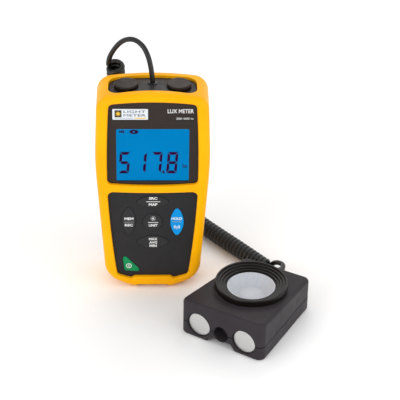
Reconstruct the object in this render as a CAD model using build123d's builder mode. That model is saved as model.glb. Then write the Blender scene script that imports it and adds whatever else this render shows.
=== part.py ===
from build123d import *
import math
import os

# Hand-held light meter with a separate sensor head on a curly cord, in millimetres.
# The meter stands upright on its sheath: origin at the centre of its base, +Z up, display facing -Y.
# The sensor head lies on the same floor, in front of the meter and to its right.

os.makedirs("parts", exist_ok=True)

# Driving dimensions of the meter
METER_HEIGHT = 156.8
METER_DEPTH = 37.5
FOOT_HALF_WIDTH = 14.5  # corners of the sheath's front outline before rounding: foot, base, belly and shoulder
FOOT_ROUND = 12.0
BASE_HALF_WIDTH = 33.6
BASE_RISE = 8.4
BASE_CORNER = 17.0
BELLY_HALF_WIDTH = 40.1
BELLY_HEIGHT = 103.0
BELLY_ROUND = 250.0
SHOULDER_HALF_WIDTH = 38.2
SHOULDER_HEIGHT = 153.4
SHOULDER_CORNER = 11.0
SHEATH_WALL = 3.3
SHEATH_ROUND = 4.6
CASE_DEPTH = 32.0
CASE_ROUND = 2.6
SHELL_WALL = 2.2
FIT = 0.2  # clearance between a loose piece and its opening
SKIN = 0.05  # clearance between pieces of one body that only touch

# Driving dimensions of the sensor head
SENSOR_X = 67.6
SENSOR_Y = -58.8
SENSOR_TURN = -34.0  # degrees about the vertical
SENSOR_LENGTH = 76.0
SENSOR_FRONT_WIDTH = 66.4
SENSOR_REAR_WIDTH = 54.4
SENSOR_FRONT_HEIGHT = 28.8
SENSOR_REAR_HEIGHT = 23.2
PARTING_HEIGHT = 10.7
SENSOR_WALL = 2.0

# Docking pieces, shared by the meter's top and the sensor's front
DOCK_SPACING = 36.2
DOCK_RADIUS = 8.4

# Cord
WIRE_RADIUS = 1.8
COIL_RADIUS = 6.6
CORD_GAP = 0.6  # clearance between a cord piece and the next

# Heights and depths worked out from the driving dimensions
CASE_FRONT = -CASE_DEPTH / 2
CASE_TOP = METER_HEIGHT - SHEATH_WALL - SKIN
SHELL_INSIDE = CASE_FRONT + SHELL_WALL


def front_plane(y):
    """A sketch plane facing -Y at depth y, with its own X and Y along world X and Z."""
    return Plane(origin=(0, y, 0), x_dir=(1, 0, 0), z_dir=(0, -1, 0))


def profile_plane(x, y, z):
    """A sketch plane through a vertical axis at x and y, for profiles that are revolved about that axis."""
    return Plane(origin=(x, y, z), x_dir=(1, 0, 0), z_dir=(0, -1, 0))


def save(name, label):
    """Labels a finished piece and writes its STEP file."""
    name.part.label = label
    export_step(name.part, "parts/" + label + ".step")


def meter_outline(inset):
    """Front outline of the meter, pulled in by inset on every side."""
    right = [
        (FOOT_HALF_WIDTH, 0),
        (BASE_HALF_WIDTH, BASE_RISE),
        (BELLY_HALF_WIDTH, BELLY_HEIGHT),
        (SHOULDER_HALF_WIDTH, SHOULDER_HEIGHT),
    ]
    left = [(-x, z) for x, z in reversed(right)]
    rounds = [FOOT_ROUND, BASE_CORNER, BELLY_ROUND, SHOULDER_CORNER]
    with BuildSketch(Plane.XY, mode=Mode.PRIVATE) as outline:
        with BuildLine():
            Polyline(*left, *right)
            ThreePointArc(right[-1], (0, METER_HEIGHT), left[0])
        make_face()
        for (x, z), radius in zip(right, rounds):
            fillet([v for v in outline.vertices() if abs(abs(v.X) - x) < 0.01 and abs(v.Y - z) < 0.01], radius)
        if inset:
            offset(amount=-inset)
    return outline.sketch


def bowed_panel(half_widths, heights, bows, corner, grow):
    """A panel outline, grown by grow: its low and high half widths, low and high edges, and three bows.

    The bows are how far the low edge, the high edge and the sides stand out at their middles.
    """
    low = heights[0] - grow
    high = heights[1] + grow
    half_low = half_widths[0] + grow
    half_high = half_widths[1] + grow
    half_middle = (half_low + half_high) / 2 + bows[2]
    middle = (low + high) / 2
    with BuildSketch(Plane.XY, mode=Mode.PRIVATE) as panel:
        with BuildLine():
            ThreePointArc((-half_low, low), (0, low - bows[0]), (half_low, low))
            ThreePointArc((half_low, low), (half_middle, middle), (half_high, high))
            ThreePointArc((half_high, high), (0, high + bows[1]), (-half_high, high))
            ThreePointArc((-half_high, high), (-half_middle, middle), (-half_low, low))
        make_face()
        fillet(panel.vertices(), corner + grow)
    return panel.sketch


def window_outline(grow):
    """Outline of the sheath's display opening, grown by grow."""
    return bowed_panel((31.6, 30.0), (86.7, 149.0), (1.6, 1.9, 0.6), 3.4, grow)


def keypad_outline(grow):
    """Outline of the sheath's keypad opening, grown by grow."""
    return bowed_panel((25.4, 31.6), (11.2, 80.5), (5.2, -0.9, 0.8), 3.8, grow)


def lens_face(width, height, tip, grow):
    """A lens: two equal arcs meeting at two points, with the points rounded."""
    with BuildSketch(Plane.XY, mode=Mode.PRIVATE) as lens:
        with BuildLine():
            ends = ((-width / 2, 0), (width / 2, 0)) if width > height else ((0, -height / 2), (0, height / 2))
            side = (0, height / 2) if width > height else (width / 2, 0)
            other = (-side[0], -side[1])
            ThreePointArc(ends[0], side, ends[1])
            ThreePointArc(ends[1], other, ends[0])
        make_face()
        fillet(lens.vertices(), tip)
        if grow:
            offset(amount=grow)
    return lens.sketch


def round_face(grow):
    """The round key in the middle of the keypad."""
    with BuildSketch(Plane.XY, mode=Mode.PRIVATE) as round_key:
        Circle(6.8 + grow)
    return round_key.sketch


def power_face(grow):
    """The rounded triangular power key in the keypad's lower left corner."""
    with BuildSketch(Plane.XY, mode=Mode.PRIVATE) as corner_key:
        with BuildLine():
            Polyline((-21.8, 28.4), (-7.4, 12.4), (-20.3, 13.7), close=True)
        make_face()
        fillet(corner_key.vertices(), 1.6)
        if grow:
            offset(amount=grow)
    return corner_key.sketch


# Each key: its name, its centre on the front, and its outline
KEYS = [
    ("key_source", (0, 71.2), lambda grow: lens_face(23.6, 9.8, 1.2, grow)),
    ("key_memory", (-17.0, 55.4), lambda grow: lens_face(10.2, 23.6, 1.2, grow)),
    ("key_unit", (0, 54.6), round_face),
    ("key_hold", (17.2, 54.6), lambda grow: lens_face(9.4, 24.0, 1.8, grow)),
    ("key_max", (0, 38.0), lambda grow: lens_face(23.6, 10.4, 1.2, grow)),
    ("key_power", (0, 0), power_face),
]

# Where each key's switch sits on the board
SWITCHES = [(0, 71.2), (-17.0, 55.4), (0, 54.6), (17.2, 54.6), (0, 38.0), (-18.0, 17.2)]

# ------------------------------------------------------------------ sheath

REAR_OPENING = (54.0, 132.0)
REAR_OPENING_HEIGHT = 80.0
REAR_OPENING_CORNER = 6.0
TOP_OPENING_HALF = 30.4
TOP_OPENING_FRONT = -13.6
TOP_OPENING_REAR = 11.2
TOP_OPENING_BOW = 2.2
TOP_OPENING_CORNER = 7.5
DECK_GAP = 0.4  # between the sheath and the case's raised deck in its top opening
DECK_HEIGHT = 1.5
DECK_ROOT = 3.3  # how far the deck's block reaches down, past the case's crowned top
DECK_TOP = CASE_TOP + DECK_HEIGHT
FOOT_NOTCH_HALF = 11.0
FOOT_NOTCH_HEIGHT = 2.9
FOOT_NOTCH_DEPTH = 9.0
LIP_HALF = 15.6  # the low lip under the keypad, with slanted ends
LIP_TOP_HALF = 12.8
LIP_END = 7.8
LIP_TOP = 9.4
WINDOW_ROUND = 1.4
KEYPAD_ROUND = 0.9


def top_opening_outline(inset):
    """Plan outline of the sheath's top opening, pulled in by inset."""
    half = TOP_OPENING_HALF - inset
    front = TOP_OPENING_FRONT + inset
    rear = TOP_OPENING_REAR - inset
    with BuildSketch(Plane.XY, mode=Mode.PRIVATE) as outline:
        with BuildLine():
            ThreePointArc((-half, front), (0, front + TOP_OPENING_BOW), (half, front))
            Polyline((half, front), (half, rear), (-half, rear), (-half, front))
        make_face()
        fillet(outline.vertices(), TOP_OPENING_CORNER - inset)
    return outline.sketch


def raised_deck(side):
    """The raised top of one case shell, inside the sheath's opening: side is -1 in front and 1 behind."""
    with BuildPart(mode=Mode.PRIVATE) as deck:
        with BuildSketch(Plane.XY.offset(CASE_TOP - DECK_ROOT)):
            add(top_opening_outline(DECK_GAP))
            with Locations((0, side * (METER_DEPTH / 2 + SKIN))):
                Rectangle(METER_DEPTH * 2, METER_DEPTH, mode=Mode.INTERSECT)
        extrude(amount=METER_HEIGHT)
        with BuildSketch(front_plane(-METER_DEPTH / 2)):
            add(meter_outline(SHEATH_WALL - DECK_HEIGHT))
        extrude(amount=-METER_DEPTH, mode=Mode.INTERSECT)
    return deck.part


with BuildPart() as protective_sheath:
    with BuildSketch(front_plane(-METER_DEPTH / 2)):
        add(meter_outline(0))
    extrude(amount=-METER_DEPTH)
    fillet(protective_sheath.faces().filter_by(Axis.Y).edges(), SHEATH_ROUND)
    with BuildSketch(front_plane(CASE_FRONT - SKIN)):
        add(meter_outline(SHEATH_WALL - SKIN))
    extrude(amount=-CASE_DEPTH - 2 * SKIN, mode=Mode.SUBTRACT)
    with BuildSketch(front_plane(-METER_DEPTH)):
        add(window_outline(0))
        add(keypad_outline(0))
        with BuildLine():
            lip_right = [(LIP_HALF, 0), (LIP_HALF, LIP_END), (LIP_TOP_HALF, LIP_TOP)]
            lip_left = [(-x, z) for x, z in reversed(lip_right)]
            Polyline(*lip_right, *lip_left, close=True)
        make_face(mode=Mode.SUBTRACT)
    extrude(amount=-METER_DEPTH, mode=Mode.SUBTRACT)
    for opening in protective_sheath.faces().sort_by(Axis.Y)[0].inner_wires():
        opening_round = WINDOW_ROUND if opening.center().Z > BELLY_HEIGHT else KEYPAD_ROUND
        fillet(opening.edges(), opening_round)
    with BuildSketch(Plane.XY.offset(CASE_TOP - SHEATH_WALL)):
        add(top_opening_outline(0))
    extrude(amount=3 * SHEATH_WALL, mode=Mode.SUBTRACT)
    with BuildSketch(front_plane(0)):
        with Locations((0, REAR_OPENING_HEIGHT)):
            RectangleRounded(*REAR_OPENING, REAR_OPENING_CORNER)
    extrude(amount=-METER_DEPTH, mode=Mode.SUBTRACT)
    with BuildSketch(front_plane(FOOT_NOTCH_DEPTH - METER_DEPTH / 2)):
        Rectangle(2 * FOOT_NOTCH_HALF, 2 * FOOT_NOTCH_HEIGHT)
    extrude(amount=METER_DEPTH, mode=Mode.SUBTRACT)
save(protective_sheath, "protective_sheath")

# ------------------------------------------------------------------ case shells

BOSS_RADIUS = 3.0
CASE_SCREWS = [(-27.8, 24), (27.8, 24), (-29.0, 140), (29.0, 140)]
SCREW_SHANK = 1.25
SCREW_HEAD = 2.6
PILOT_DEPTH = 10.0
SCREW_RECESS = 4.0
BEZEL_DEPTH = 1.4
BEZEL_GROW = 1.0  # how far the bezel runs on behind the sheath, past the display opening
PANEL_DEPTH = 1.2
PANEL_GROW = 0.4  # the same for the keypad panel
LCD_HALF_WIDTH = 25.1
LCD_LOW = 88.0
LCD_HIGH = 129.4
LCD_MIDDLE = (LCD_LOW + LCD_HIGH) / 2
LCD_HEIGHT = LCD_HIGH - LCD_LOW
DOCK_LINE = -0.6
CORD_LINE = 3.2
CAP_POCKET = 2.0
GROMMET_NECK = 2.7

with BuildPart() as front_shell:
    with BuildSketch(front_plane(CASE_FRONT)):
        add(meter_outline(SHEATH_WALL))
    extrude(amount=-CASE_DEPTH / 2 + SKIN)
    fillet(front_shell.faces().sort_by(Axis.Y)[0].edges(), CASE_ROUND)
    with BuildSketch(front_plane(SHELL_INSIDE)):
        add(meter_outline(SHEATH_WALL + SHELL_WALL))
    extrude(amount=-CASE_DEPTH / 2, mode=Mode.SUBTRACT)
    with BuildSketch(front_plane(SHELL_INSIDE - SKIN)):
        with Locations(*CASE_SCREWS):
            Circle(BOSS_RADIUS)
    extrude(amount=SHELL_INSIDE + 2 * SKIN)
    with BuildSketch(front_plane(-SKIN)):
        with Locations(*CASE_SCREWS):
            Circle(SCREW_SHANK + FIT)
    extrude(amount=PILOT_DEPTH, mode=Mode.SUBTRACT)
    with BuildSketch(front_plane(CASE_FRONT)):
        add(window_outline(BEZEL_GROW))
    extrude(amount=-BEZEL_DEPTH - SKIN, mode=Mode.SUBTRACT)
    with BuildSketch(front_plane(CASE_FRONT)):
        add(keypad_outline(PANEL_GROW))
    extrude(amount=-PANEL_DEPTH - SKIN, mode=Mode.SUBTRACT)
    with BuildSketch(front_plane(CASE_FRONT)):
        with Locations((0, LCD_MIDDLE)):
            Rectangle(2 * LCD_HALF_WIDTH + 2, LCD_HEIGHT + 2)
        for name, centre, outline in KEYS:
            with Locations(centre):
                add(outline(2 * FIT))
    extrude(amount=-2 * SHELL_WALL, mode=Mode.SUBTRACT)
    add(raised_deck(-1))
    with BuildSketch(Plane.XY.offset(CASE_TOP - CAP_POCKET)):
        with Locations((-DOCK_SPACING / 2, DOCK_LINE), (DOCK_SPACING / 2, DOCK_LINE)):
            Circle(DOCK_RADIUS + SKIN)
    extrude(amount=METER_HEIGHT, mode=Mode.SUBTRACT)
    with BuildSketch(Plane.XY.offset(CASE_TOP - 2 * SHELL_WALL)):
        with Locations((0, CORD_LINE)):
            Circle(GROMMET_NECK + SKIN)
    extrude(amount=METER_HEIGHT, mode=Mode.SUBTRACT)
save(front_shell, "front_shell")

TRAY_HALF = 23.8
TRAY_LOW = 16.2
TRAY_HIGH = 83.8
TRAY_WALL = 0.9
TRAY_FLOOR_FRONT = -2.3
TRAY_FLOOR_REAR = -1.0
COVER_THICKNESS = 1.6
COVER_HALF = 24.6
CELL_RADIUS = 7.1
CELL_LENGTH = 49.5
CELL_LOW = 23.6
CELL_DEPTH = 6.4
CELL_PITCH = 15.0
CELL_BASE_RADIUS = 5.0
CELL_BASE = 0.3
CELL_NIPPLE_RADIUS = 2.7
CELL_NIPPLE = 1.0
CONTACT_WALL_LOW = 75.8
CONTACT_WALL_HIGH = 77.0
COVER_SCREW_HEIGHT = 80.4
COVER_SEAT = CASE_DEPTH / 2 - COVER_THICKNESS - SKIN
TRAY_MIDDLE = (TRAY_LOW + TRAY_HIGH) / 2
TRAY_HEIGHT = TRAY_HIGH - TRAY_LOW

with BuildPart() as rear_shell:
    with BuildSketch(front_plane(0)):
        add(meter_outline(SHEATH_WALL))
    extrude(amount=-CASE_DEPTH / 2)
    fillet(rear_shell.faces().sort_by(Axis.Y)[-1].edges(), CASE_ROUND)
    with BuildSketch(front_plane(0)):
        add(meter_outline(SHEATH_WALL + SHELL_WALL))
    extrude(amount=SHELL_INSIDE, mode=Mode.SUBTRACT)
    with BuildSketch(front_plane(0)):
        with Locations(*CASE_SCREWS):
            Circle(BOSS_RADIUS)
    extrude(amount=SHELL_INSIDE - SKIN)
    with BuildSketch(front_plane(TRAY_FLOOR_FRONT)):
        with Locations((0, TRAY_MIDDLE)):
            Rectangle(2 * (TRAY_HALF + TRAY_WALL), TRAY_HEIGHT + 2 * TRAY_WALL)
    extrude(amount=TRAY_FLOOR_FRONT + SHELL_INSIDE - SKIN)
    with BuildSketch(front_plane(TRAY_FLOOR_REAR)):
        with Locations((0, TRAY_MIDDLE)):
            Rectangle(2 * TRAY_HALF, TRAY_HEIGHT)
        with Locations((0, (CONTACT_WALL_LOW + CONTACT_WALL_HIGH) / 2)):
            Rectangle(2 * TRAY_HALF, CONTACT_WALL_HIGH - CONTACT_WALL_LOW, mode=Mode.SUBTRACT)
        with Locations((0, COVER_SCREW_HEIGHT)):
            Circle(BOSS_RADIUS, mode=Mode.SUBTRACT)
    extrude(amount=-CASE_DEPTH, mode=Mode.SUBTRACT)
    with BuildSketch(front_plane(COVER_SEAT)):
        with Locations((0, TRAY_MIDDLE)):
            Rectangle(2 * (COVER_HALF + FIT), TRAY_HEIGHT + 2 * (COVER_HALF + FIT - TRAY_HALF))
    extrude(amount=-CASE_DEPTH, mode=Mode.SUBTRACT)
    with BuildSketch(front_plane(COVER_SEAT - 2 * SHELL_WALL)):
        with Locations((0, TRAY_MIDDLE)):
            Rectangle(2 * TRAY_HALF - 2 * FIT, TRAY_HEIGHT - 2 * FIT)
    extrude(amount=-CASE_DEPTH, mode=Mode.SUBTRACT)
    with BuildSketch(front_plane(TRAY_FLOOR_REAR + 1)):
        with Locations((0, COVER_SCREW_HEIGHT)):
            Circle(SCREW_SHANK + FIT)
    extrude(amount=-CASE_DEPTH, mode=Mode.SUBTRACT)
    with BuildSketch(front_plane(-SKIN)):
        with Locations(*CASE_SCREWS):
            Circle(SCREW_SHANK + FIT)
    extrude(amount=-CASE_DEPTH, mode=Mode.SUBTRACT)
    with BuildSketch(front_plane(CASE_DEPTH / 2 - SCREW_RECESS)):
        with Locations(*CASE_SCREWS):
            Circle(SCREW_HEAD + FIT)
    extrude(amount=-CASE_DEPTH, mode=Mode.SUBTRACT)
    add(raised_deck(1))
    with BuildSketch(Plane.XY.offset(CASE_TOP - CAP_POCKET)):
        with Locations((-DOCK_SPACING / 2, DOCK_LINE), (DOCK_SPACING / 2, DOCK_LINE)):
            Circle(DOCK_RADIUS + SKIN)
    extrude(amount=METER_HEIGHT, mode=Mode.SUBTRACT)
    with BuildSketch(Plane.XY.offset(CASE_TOP - 2 * SHELL_WALL)):
        with Locations((0, CORD_LINE)):
            Circle(GROMMET_NECK + SKIN)
    extrude(amount=METER_HEIGHT, mode=Mode.SUBTRACT)
save(rear_shell, "rear_shell")


def pan_screw(origin, direction, head_radius, head_height, shank_radius, length):
    """A cross-slot pan-head screw whose head's underside sits at origin, its shank along direction."""
    with BuildPart(Plane(origin=origin, z_dir=direction), mode=Mode.PRIVATE) as screw:
        Cylinder(shank_radius, length, align=(Align.CENTER, Align.CENTER, Align.MIN))
        Cylinder(head_radius, head_height, align=(Align.CENTER, Align.CENTER, Align.MAX))
        fillet(screw.faces().sort_by(Axis(origin, direction))[0].edges(), head_height * 0.4)
        with Locations((0, 0, -head_height)):
            slot = (Align.CENTER, Align.CENTER, Align.MIN)
            Box(head_radius * 1.1, head_radius * 0.26, head_height * 0.5, align=slot, mode=Mode.SUBTRACT)
            Box(head_radius * 0.26, head_radius * 1.1, head_height * 0.5, align=slot, mode=Mode.SUBTRACT)
    return screw.part


CASE_SCREW_SEAT = CASE_DEPTH / 2 - SCREW_RECESS + SKIN
CASE_SCREW_LENGTH = 20.0
CASE_SCREW_HEAD_HEIGHT = 2.0

with BuildPart() as case_screws:
    screw_size = (SCREW_HEAD, CASE_SCREW_HEAD_HEIGHT, SCREW_SHANK, CASE_SCREW_LENGTH)
    for x, z in CASE_SCREWS:
        add(pan_screw((x, CASE_SCREW_SEAT, z), (0, -1, 0), *screw_size))
save(case_screws, "case_screws")

# ------------------------------------------------------------------ display

LCD_FRONT = SHELL_INSIDE + 0.3
LCD_MARGIN = 1.8  # how far the panel runs on behind the bezel
LCD_CORNER = 1.3
HOLDER_WALL = 2.0
LCD_GLASS = 1.8
BACKLIGHT = 2.0
BOARD_FRONT = -9.0
PLATE_WIDTH = 24.2
PLATE_HEIGHT = 8.2
PLATE_THICKNESS = 0.3
PLATE_CENTRE = (-15.3, 141.0)

with BuildPart() as display_bezel:
    with BuildSketch(front_plane(CASE_FRONT)):
        add(window_outline(BEZEL_GROW - FIT / 2))
        with Locations((0, LCD_MIDDLE)):
            RectangleRounded(2 * LCD_HALF_WIDTH, LCD_HEIGHT, LCD_CORNER, mode=Mode.SUBTRACT)
    extrude(amount=-BEZEL_DEPTH)
save(display_bezel, "display_bezel")

with BuildPart() as lcd_cover:
    with BuildSketch(front_plane(CASE_FRONT + SKIN)):
        with Locations((0, LCD_MIDDLE)):
            RectangleRounded(2 * (LCD_HALF_WIDTH - SKIN), LCD_HEIGHT - 2 * SKIN, LCD_CORNER - SKIN)
    extrude(amount=-BEZEL_DEPTH + SKIN)
save(lcd_cover, "lcd_cover")


# The flat layers of the display stack, each a margin larger than the visible area
LCD_LAYERS = [
    ("lcd_panel", LCD_FRONT, LCD_GLASS),
    ("lcd_backlight", LCD_FRONT + LCD_GLASS + SKIN, BACKLIGHT),
]
for label, layer_front, thickness in LCD_LAYERS:
    with BuildPart() as layer:
        with BuildSketch(front_plane(layer_front)):
            with Locations((0, LCD_MIDDLE)):
                Rectangle(2 * (LCD_HALF_WIDTH + LCD_MARGIN), LCD_HEIGHT + 2 * LCD_MARGIN)
        extrude(amount=-thickness)
    save(layer, label)

with BuildPart() as lcd_holder:
    with BuildSketch(front_plane(LCD_FRONT - SKIN)):
        with Locations((0, LCD_MIDDLE)):
            outer = LCD_MARGIN + HOLDER_WALL
            inner = LCD_MARGIN + FIT / 2
            Rectangle(2 * (LCD_HALF_WIDTH + outer), LCD_HEIGHT + 2 * outer)
            Rectangle(2 * (LCD_HALF_WIDTH + inner), LCD_HEIGHT + 2 * inner, mode=Mode.SUBTRACT)
    extrude(amount=LCD_FRONT - BOARD_FRONT)
save(lcd_holder, "lcd_holder")

with BuildPart() as name_plate:
    with BuildSketch(front_plane(CASE_FRONT - SKIN)):
        with Locations(PLATE_CENTRE):
            RectangleRounded(PLATE_WIDTH, PLATE_HEIGHT, 0.5)
    extrude(amount=PLATE_THICKNESS)
save(name_plate, "name_plate")

# ------------------------------------------------------------------ keys

KEY_PROUD = 0.5
KEY_TRAVEL = 0.8
KEY_ROUND = 0.35
FLANGE_FRONT = SHELL_INSIDE + 0.3
FLANGE_DEPTH = 0.9
FLANGE_GROW = 1.0
SWITCH_HEIGHT = 0.9
POST_RADIUS = 1.6
POST_END = BOARD_FRONT - SWITCH_HEIGHT - KEY_TRAVEL - FIT

with BuildPart() as keypad_panel:
    with BuildSketch(front_plane(CASE_FRONT)):
        add(keypad_outline(PANEL_GROW - FIT / 2))
        for name, centre, outline in KEYS:
            with Locations(centre):
                add(outline(FIT), mode=Mode.SUBTRACT)
    extrude(amount=-PANEL_DEPTH)
save(keypad_panel, "keypad_panel")

for (name, centre, outline), switch in zip(KEYS, SWITCHES):
    with BuildPart() as key:
        with BuildSketch(front_plane(CASE_FRONT - KEY_PROUD)):
            with Locations(centre):
                add(outline(0))
        extrude(amount=-(FLANGE_FRONT - CASE_FRONT + KEY_PROUD))
        fillet(key.faces().sort_by(Axis.Y)[0].edges(), KEY_ROUND)
        with BuildSketch(front_plane(FLANGE_FRONT)):
            with Locations(centre):
                add(outline(FLANGE_GROW))
        extrude(amount=-FLANGE_DEPTH)
        with BuildSketch(front_plane(FLANGE_FRONT)):
            with Locations(switch):
                Circle(POST_RADIUS)
        extrude(amount=FLANGE_FRONT - POST_END)
    save(key, name)

# ------------------------------------------------------------------ electronics

BOARD_HALF_WIDTH = 24.4
BOARD_LOW = 12.0
BOARD_HIGH = 134.0
BOARD_THICKNESS = 1.6
BOARD_REAR = BOARD_FRONT + BOARD_THICKNESS
DOME_BASE_RADIUS = 4.0
DOME_RADIUS = 3.0
DOME_BASE = 0.3
DOME_TAPER = 55
RADIO_PLACE = (9.0, 108.0)
RADIO_SIZE = (14.0, 10.5)
RADIO_DEPTH = 2.2

with BuildPart() as main_board:
    with BuildSketch(front_plane(BOARD_FRONT)):
        with Locations((0, (BOARD_LOW + BOARD_HIGH) / 2)):
            RectangleRounded(2 * BOARD_HALF_WIDTH, BOARD_HIGH - BOARD_LOW, 1.5)
    extrude(amount=-BOARD_THICKNESS)
save(main_board, "main_board")

with BuildPart() as switch_domes:
    with BuildSketch(front_plane(BOARD_FRONT - SKIN)):
        with Locations(*SWITCHES):
            Circle(DOME_BASE_RADIUS)
    extrude(amount=DOME_BASE)
    with BuildSketch(front_plane(BOARD_FRONT - SKIN - DOME_BASE)):
        with Locations(*SWITCHES):
            Circle(DOME_RADIUS)
    extrude(amount=SWITCH_HEIGHT - SKIN - DOME_BASE, taper=DOME_TAPER)
save(switch_domes, "switch_domes")

with BuildPart() as radio_can:
    with BuildSketch(front_plane(BOARD_REAR + SKIN)):
        with Locations(RADIO_PLACE):
            RectangleRounded(*RADIO_SIZE, 0.6)
    extrude(amount=-RADIO_DEPTH)
save(radio_can, "radio_can")

for column, label in ((-1, "battery_left"), (0, "battery_middle"), (1, "battery_right")):
    cell_x = column * CELL_PITCH
    with BuildPart() as cell:
        with BuildSketch(profile_plane(cell_x, CELL_DEPTH, CELL_LOW)):
            with BuildLine():
                Polyline(
                    (0, 0),
                    (CELL_BASE_RADIUS, 0),
                    (CELL_BASE_RADIUS, CELL_BASE),
                    (CELL_RADIUS, CELL_BASE),
                    (CELL_RADIUS, CELL_LENGTH - CELL_BASE),
                    (CELL_NIPPLE_RADIUS, CELL_LENGTH),
                    (CELL_NIPPLE_RADIUS, CELL_LENGTH + CELL_NIPPLE),
                    (0, CELL_LENGTH + CELL_NIPPLE),
                    close=True,
                )
            make_face()
        revolve(axis=Axis((cell_x, CELL_DEPTH, 0), (0, 0, 1)))
    save(cell, label)

SPRING_WIRE = 0.35
SPRING_RADIUS = 3.2
SPRING_TAPER = 0.2
SPRING_TURNS = 5
SPRING_PITCH = 1.38
SPRING_PLATE = (12.0, 11.0)
CONTACT_PLATE = (11.0, 10.0)
PLATE_SHEET = 0.5
SPRING_BASE = TRAY_LOW + SKIN + PLATE_SHEET

with BuildPart() as battery_springs:
    for column in (-1, 0, 1):
        spring_x = column * CELL_PITCH
        with BuildSketch(Plane.XY.offset(TRAY_LOW + SKIN)):
            with Locations((spring_x, CELL_DEPTH)):
                Rectangle(*SPRING_PLATE)
        extrude(amount=PLATE_SHEET)
        for turn in range(SPRING_TURNS):
            turn_height = SPRING_BASE + SPRING_WIRE + turn * SPRING_PITCH
            with BuildSketch(profile_plane(spring_x, CELL_DEPTH, turn_height)):
                with Locations((SPRING_RADIUS - SPRING_TAPER * turn, 0)):
                    Circle(SPRING_WIRE)
            revolve(axis=Axis((spring_x, CELL_DEPTH, 0), (0, 0, 1)))
save(battery_springs, "battery_springs")

with BuildPart() as battery_contacts:
    for column in (-1, 0, 1):
        with BuildSketch(Plane.XY.offset(CONTACT_WALL_LOW - SKIN)):
            with Locations((column * CELL_PITCH, CELL_DEPTH)):
                Rectangle(*CONTACT_PLATE)
        extrude(amount=-PLATE_SHEET)
save(battery_contacts, "battery_contacts")

# ------------------------------------------------------------------ battery cover

COVER_REAR = CASE_DEPTH / 2
COVER_LIP = 1.0
COVER_BOSS = 3.9
COVER_BOSS_HEIGHT = 4.4
COVER_RIB = 1.2
COVER_SCREW_HEAD_HEIGHT = 1.9
COVER_SCREW_LENGTH = 8.0
COVER_SCREW_SEAT = COVER_SEAT - 0.8
GRIP_COUNT = 5
GRIP_PITCH = 2.2
GRIP_SLOT = (22.0, 1.0)
GRIP_DEPTH = 0.45
GRIP_DROP = 14.0

with BuildPart() as battery_cover:
    with BuildSketch(front_plane(COVER_SEAT + SKIN)):
        with Locations((0, TRAY_MIDDLE)):
            Rectangle(2 * COVER_HALF, TRAY_HEIGHT + 2 * (COVER_HALF - TRAY_HALF))
    extrude(amount=-COVER_THICKNESS)
    with BuildSketch(front_plane(COVER_SEAT + SKIN)):
        with Locations((0, TRAY_MIDDLE)):
            edge = 3 * FIT
            Rectangle(2 * (TRAY_HALF - edge), TRAY_HEIGHT - 2 * edge)
            edge = edge + COVER_LIP
            Rectangle(2 * (TRAY_HALF - edge), TRAY_HEIGHT - 2 * edge, mode=Mode.SUBTRACT)
    extrude(amount=COVER_RIB)
    with BuildSketch(front_plane(COVER_SEAT + SKIN)):
        with Locations((0, COVER_SCREW_HEIGHT)):
            Rectangle(2 * COVER_BOSS, COVER_BOSS_HEIGHT)
    extrude(amount=COVER_RIB)
    with BuildSketch(front_plane(COVER_REAR)):
        with Locations((0, COVER_SCREW_HEIGHT)):
            Circle(SCREW_HEAD + FIT)
    extrude(amount=COVER_REAR - COVER_SCREW_SEAT, mode=Mode.SUBTRACT)
    with BuildSketch(front_plane(COVER_REAR)):
        with Locations((0, COVER_SCREW_HEIGHT)):
            Circle(SCREW_SHANK + FIT)
    extrude(amount=CASE_DEPTH / 4, mode=Mode.SUBTRACT)
    with BuildSketch(front_plane(COVER_REAR)):
        with GridLocations(0, GRIP_PITCH, 1, GRIP_COUNT):
            with Locations((0, TRAY_HIGH - GRIP_DROP)):
                SlotOverall(*GRIP_SLOT)
    extrude(amount=GRIP_DEPTH, mode=Mode.SUBTRACT)
save(battery_cover, "battery_cover")

with BuildPart() as cover_screw:
    cover_screw_seat = (0, COVER_SCREW_SEAT + SKIN, COVER_SCREW_HEIGHT)
    screw_size = (SCREW_HEAD, COVER_SCREW_HEAD_HEIGHT, SCREW_SHANK, COVER_SCREW_LENGTH)
    add(pan_screw(cover_screw_seat, (0, -1, 0), *screw_size))
save(cover_screw, "cover_screw")

# ------------------------------------------------------------------ top of the meter

CAP_HEIGHT = 5.6
CAP_BEVEL = 0.8
GROMMET_FLANGE = 3.5
GROMMET_FLANGE_HEIGHT = 0.5
GROMMET_TIP_RADIUS = 2.3
GROMMET_TOP = DECK_TOP + 0.9

for side, label in ((-1, "dock_cap_left"), (1, "dock_cap_right")):
    with BuildPart() as cap:
        with BuildSketch(Plane.XY.offset(CASE_TOP - CAP_POCKET + SKIN)):
            with Locations((side * DOCK_SPACING / 2, DOCK_LINE)):
                Circle(DOCK_RADIUS)
        extrude(amount=CAP_HEIGHT)
        chamfer(cap.faces().sort_by(Axis.Z)[-1].edges(), CAP_BEVEL)
    save(cap, label)

with BuildPart() as cord_grommet:
    with BuildSketch(profile_plane(0, CORD_LINE, 0)):
        with BuildLine():
            neck_base = CASE_TOP - SHELL_WALL - 1.0
            flange_low = DECK_TOP + SKIN
            flange_high = DECK_TOP + GROMMET_FLANGE_HEIGHT
            Polyline((0, neck_base), (GROMMET_NECK, neck_base), (GROMMET_NECK, flange_low))
            Polyline((GROMMET_NECK, flange_low), (GROMMET_FLANGE, flange_low), (GROMMET_FLANGE, flange_high))
            Polyline((GROMMET_FLANGE, flange_high), (GROMMET_TIP_RADIUS, GROMMET_TOP), (0, GROMMET_TOP))
            Line((0, GROMMET_TOP), (0, neck_base))
        make_face()
    revolve(axis=Axis((0, CORD_LINE, 0), (0, 0, 1)))
save(cord_grommet, "cord_grommet")

# ------------------------------------------------------------------ sensor head

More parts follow.
